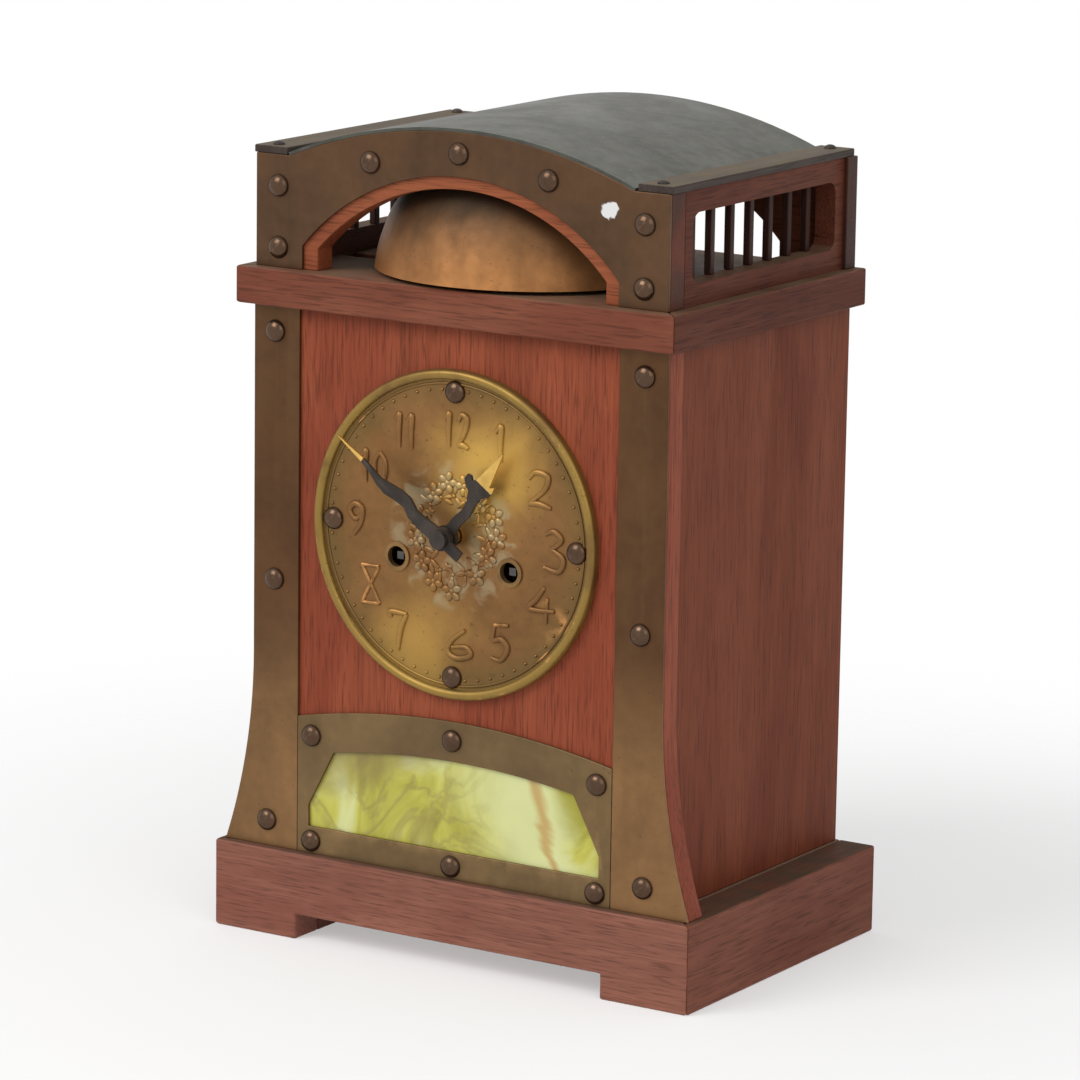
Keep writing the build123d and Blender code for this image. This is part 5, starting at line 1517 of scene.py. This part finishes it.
@dataclass
class BellWork(Assembly):
    """Bell, its post and nut, and the hammer."""

    def build(self) -> None:
        """Bell metal and the ironwork round it."""
        low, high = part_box("bell")
        tall = high.z - low.z
        # The bell darkens towards its top: partly dirt, partly painted shade under the roof
        bell = GradedMetal(
            "Bell metal",
            srgb(168, 115, 67),
            uneven=0.4,
            rubbed=1.5,
            metallic=0.7,
            rough=(0.44, 0.58),
            levels=(low.z - 0.05 * tall, low.z + 0.98 * tall),
            dust=0.3,
        )
        self.dress(bell, Slot.BELL, "bell")
        self.dress(STEEL, Slot.STEEL, "bell_post", "bell_nut", "hammer")


@dataclass
class Movement(Assembly):
    """Brass and steel pieces of the two trains."""

    frame: tuple[str, ...] = ("front_plate", "back_plate", "plate_pillars", "suspension_cock")
    going: tuple[str, ...] = ("going_barrel", "centre_wheel", "third_wheel", "escape_wheel")
    striking: tuple[str, ...] = ("strike_barrel", "pin_wheel", "warning_wheel", "fly")
    motion: tuple[str, ...] = ("hour_wheel", "minute_wheel", "cannon_pinion", "pendulum_bob")
    bright: tuple[str, ...] = ("movement_posts", "going_click", "strike_click", "anchor", "pendulum_rod")

    def build(self) -> None:
        """Finishes of the movement, shown as modelled."""
        for nodes in (self.frame, self.going, self.striking, self.motion):
            self.dress(PLATE_BRASS, Slot.MOVEMENT, *nodes)
        self.dress(STEEL, Slot.STEEL, *self.bright)
        # Winding squares in the steel whose darkness is painted shade
        self.dress(SHADED_WINDING_STEEL, Slot.STEEL, "going_winder", "strike_winder")


@dataclass
class RearDoor(Assembly):
    """Door at the back, its hinges and its turn button."""

    ease: Softening = Softening(width=0.8 * MM)
    small: Softening = Softening(width=0.2 * MM, shortest=0.4 * MM)
    leaf: float = 1.0 * MM
    screw: Dome = Dome(1.3 * MM, 0.5 * MM, Facing.BACK)
    screw_inset: float = 2.6 * MM
    screw_rise: float = 8.0 * MM

    def build(self) -> None:
        """Door, hinge leaves and button."""
        self.soften(DOOR_WOOD, Slot.WOOD, self.ease, "back_door")
        self.soften(DOOR_WOOD, Slot.WOOD, self.small, "turn_button")
        for node, outward in (("case_hinge_leaves", -1.0), ("door_hinge_leaves", 1.0)):
            self.soften(HINGE_BRASS, Slot.BRASS, self.small, node)
            self.screws(node, outward)

    def screws(self, node: str, outward: float) -> None:
        """Screw heads on the hinge leaves of one node.

        Args:
            node: CAD node of the leaves.
            outward: Side of the knuckle on which its leaves lie, along X.
        """
        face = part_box("back_door")[1].y + self.leaf
        places = []
        for low, high in self.shop.islands(node):
            edge = high.x if outward > 0.0 else low.x
            middle = (low.z + high.z) / 2.0
            for rise in (-self.screw_rise, 0.0, self.screw_rise):
                places.append(Vector((edge - outward * self.screw_inset, face, middle + rise)))
        self.heads(node + "_screws", self.screw, places, HINGE_BRASS, Slot.BRASS, node)


@dataclass(frozen=True)
class Lamp:
    """Place in metres, edge length and power of one soft light."""

    name: str
    place: Point
    size: float
    power: float


@dataclass
class Stage:
    """Floor, light and camera of the photograph."""

    eye: Point = (1.1038, -1.7451, 0.5943)
    yaw: float = math.radians(32.37)
    pitch: float = math.radians(-11.87)
    roll: float = math.radians(0.86)
    lens: float = 177.1
    floor_half: float = 1.2
    fade: Pair = (0.2, 0.55)
    shadow: float = 0.6
    sky: float = 0.62
    aim: Point = (0.0, 0.0, 0.17)
    lamps: tuple[Lamp, ...] = (
        Lamp("key", (-1.1, -2.2, 2.1), 1.6, 42.0),
        Lamp("fill", (1.9, -1.6, 1.5), 1.8, 12.0),
    )
    sensor: float = 36.0
    clip_end: float = 60.0

    def build(self) -> None:
        """Places everything that is not part of the object."""
        self.floor()
        self.world()
        for lamp in self.lamps:
            self.light(lamp)
        self.camera()

    def floor(self) -> None:
        """White floor that takes the shadow."""
        mesh = bpy.data.meshes.new("floor")
        half = self.floor_half
        corners = ((-half, -half), (half, -half), (half, half), (-half, half))
        mesh.from_pydata([(x, y, 0.0) for x, y in corners], [], [(0, 1, 2, 3)])
        floor = placed("floor", mesh)
        bench = Bench.start("White floor")
        graph = bench.graph
        bench.set(Base_Color=WHITE, Roughness=1.0, Specular_IOR_Level=0.0)
        reach = graph.near(bench.place, (0.0, 0.0, 0.0))
        near, far = self.fade
        bench.set(Alpha=graph.limits(reach, near, far, self.shadow, 0.0))
        mesh.materials.append(bench.material)

    def world(self) -> None:
        """White surroundings for what the camera and gloss see, softer light for the rest."""
        world = bpy.data.worlds.new("surroundings")
        world.use_nodes = True
        bpy.context.scene.world = world
        graph = Graph(world.node_tree)
        world.node_tree.nodes.clear()
        path = graph.add("ShaderNodeLightPath")
        seen = graph.calc("MAXIMUM", path.outputs["Is Camera Ray"], path.outputs["Is Glossy Ray"])
        seen = graph.calc("MAXIMUM", seen, path.outputs["Is Transmission Ray"])
        soft = graph.add("ShaderNodeBackground", Color=WHITE, Strength=self.sky)
        plain = graph.add("ShaderNodeBackground", Color=WHITE, Strength=1.0)
        both = graph.add("ShaderNodeMixShader", Fac=seen)
        graph.feed(both.inputs[1], soft.outputs[0])
        graph.feed(both.inputs[2], plain.outputs[0])
        graph.feed(graph.add("ShaderNodeOutputWorld").inputs["Surface"], both.outputs[0])

    def light(self, lamp: Lamp) -> None:
        """Places a soft square light, aimed at the middle of the object."""
        data = bpy.data.lights.new(lamp.name, "AREA")
        data.energy = lamp.power
        data.size = lamp.size
        obj = placed(lamp.name, data)
        obj.location = lamp.place
        aim = Vector(self.aim) - Vector(lamp.place)
        obj.rotation_euler = aim.to_track_quat("-Z", "Y").to_euler()

    def camera(self) -> None:
        """Camera that matches the photograph."""
        level_part = math.cos(self.pitch)
        east, north = -math.sin(self.yaw) * level_part, math.cos(self.yaw) * level_part
        ahead = Vector((east, north, math.sin(self.pitch)))
        level = Vector((math.cos(self.yaw), math.sin(self.yaw), 0.0))
        upright = level.cross(ahead)
        right = level * math.cos(self.roll) + upright * math.sin(self.roll)
        up = upright * math.cos(self.roll) - level * math.sin(self.roll)
        data = bpy.data.cameras.new("photograph")
        data.lens = self.lens
        data.sensor_width = self.sensor
        data.clip_end = self.clip_end
        camera = placed("photograph", data)
        turn = Matrix((right, up, -ahead)).transposed().to_4x4()
        camera.matrix_world = Matrix.Translation(self.eye) @ turn
        scene = bpy.context.scene
        scene.camera = camera
        scene.view_settings.view_transform = "Standard"
        LOG.info("camera at %s", tuple(round(value, 3) for value in self.eye))


def main() -> None:
    """Builds every sub-assembly in order."""
    logging.basicConfig(level=logging.INFO, format="%(name)s: %(message)s")
    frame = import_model()
    shop = Workshop(frame)
    front = (Plinth, Case, Cornice, Belfry, BrassWork, Window, Dial, Hands)
    for kind in (*front, BellWork, Movement, RearDoor):
        LOG.info("sub-assembly %s", kind.__name__)
        kind(shop).build()
    Stage().build()


if __name__ == "__main__":
    main()
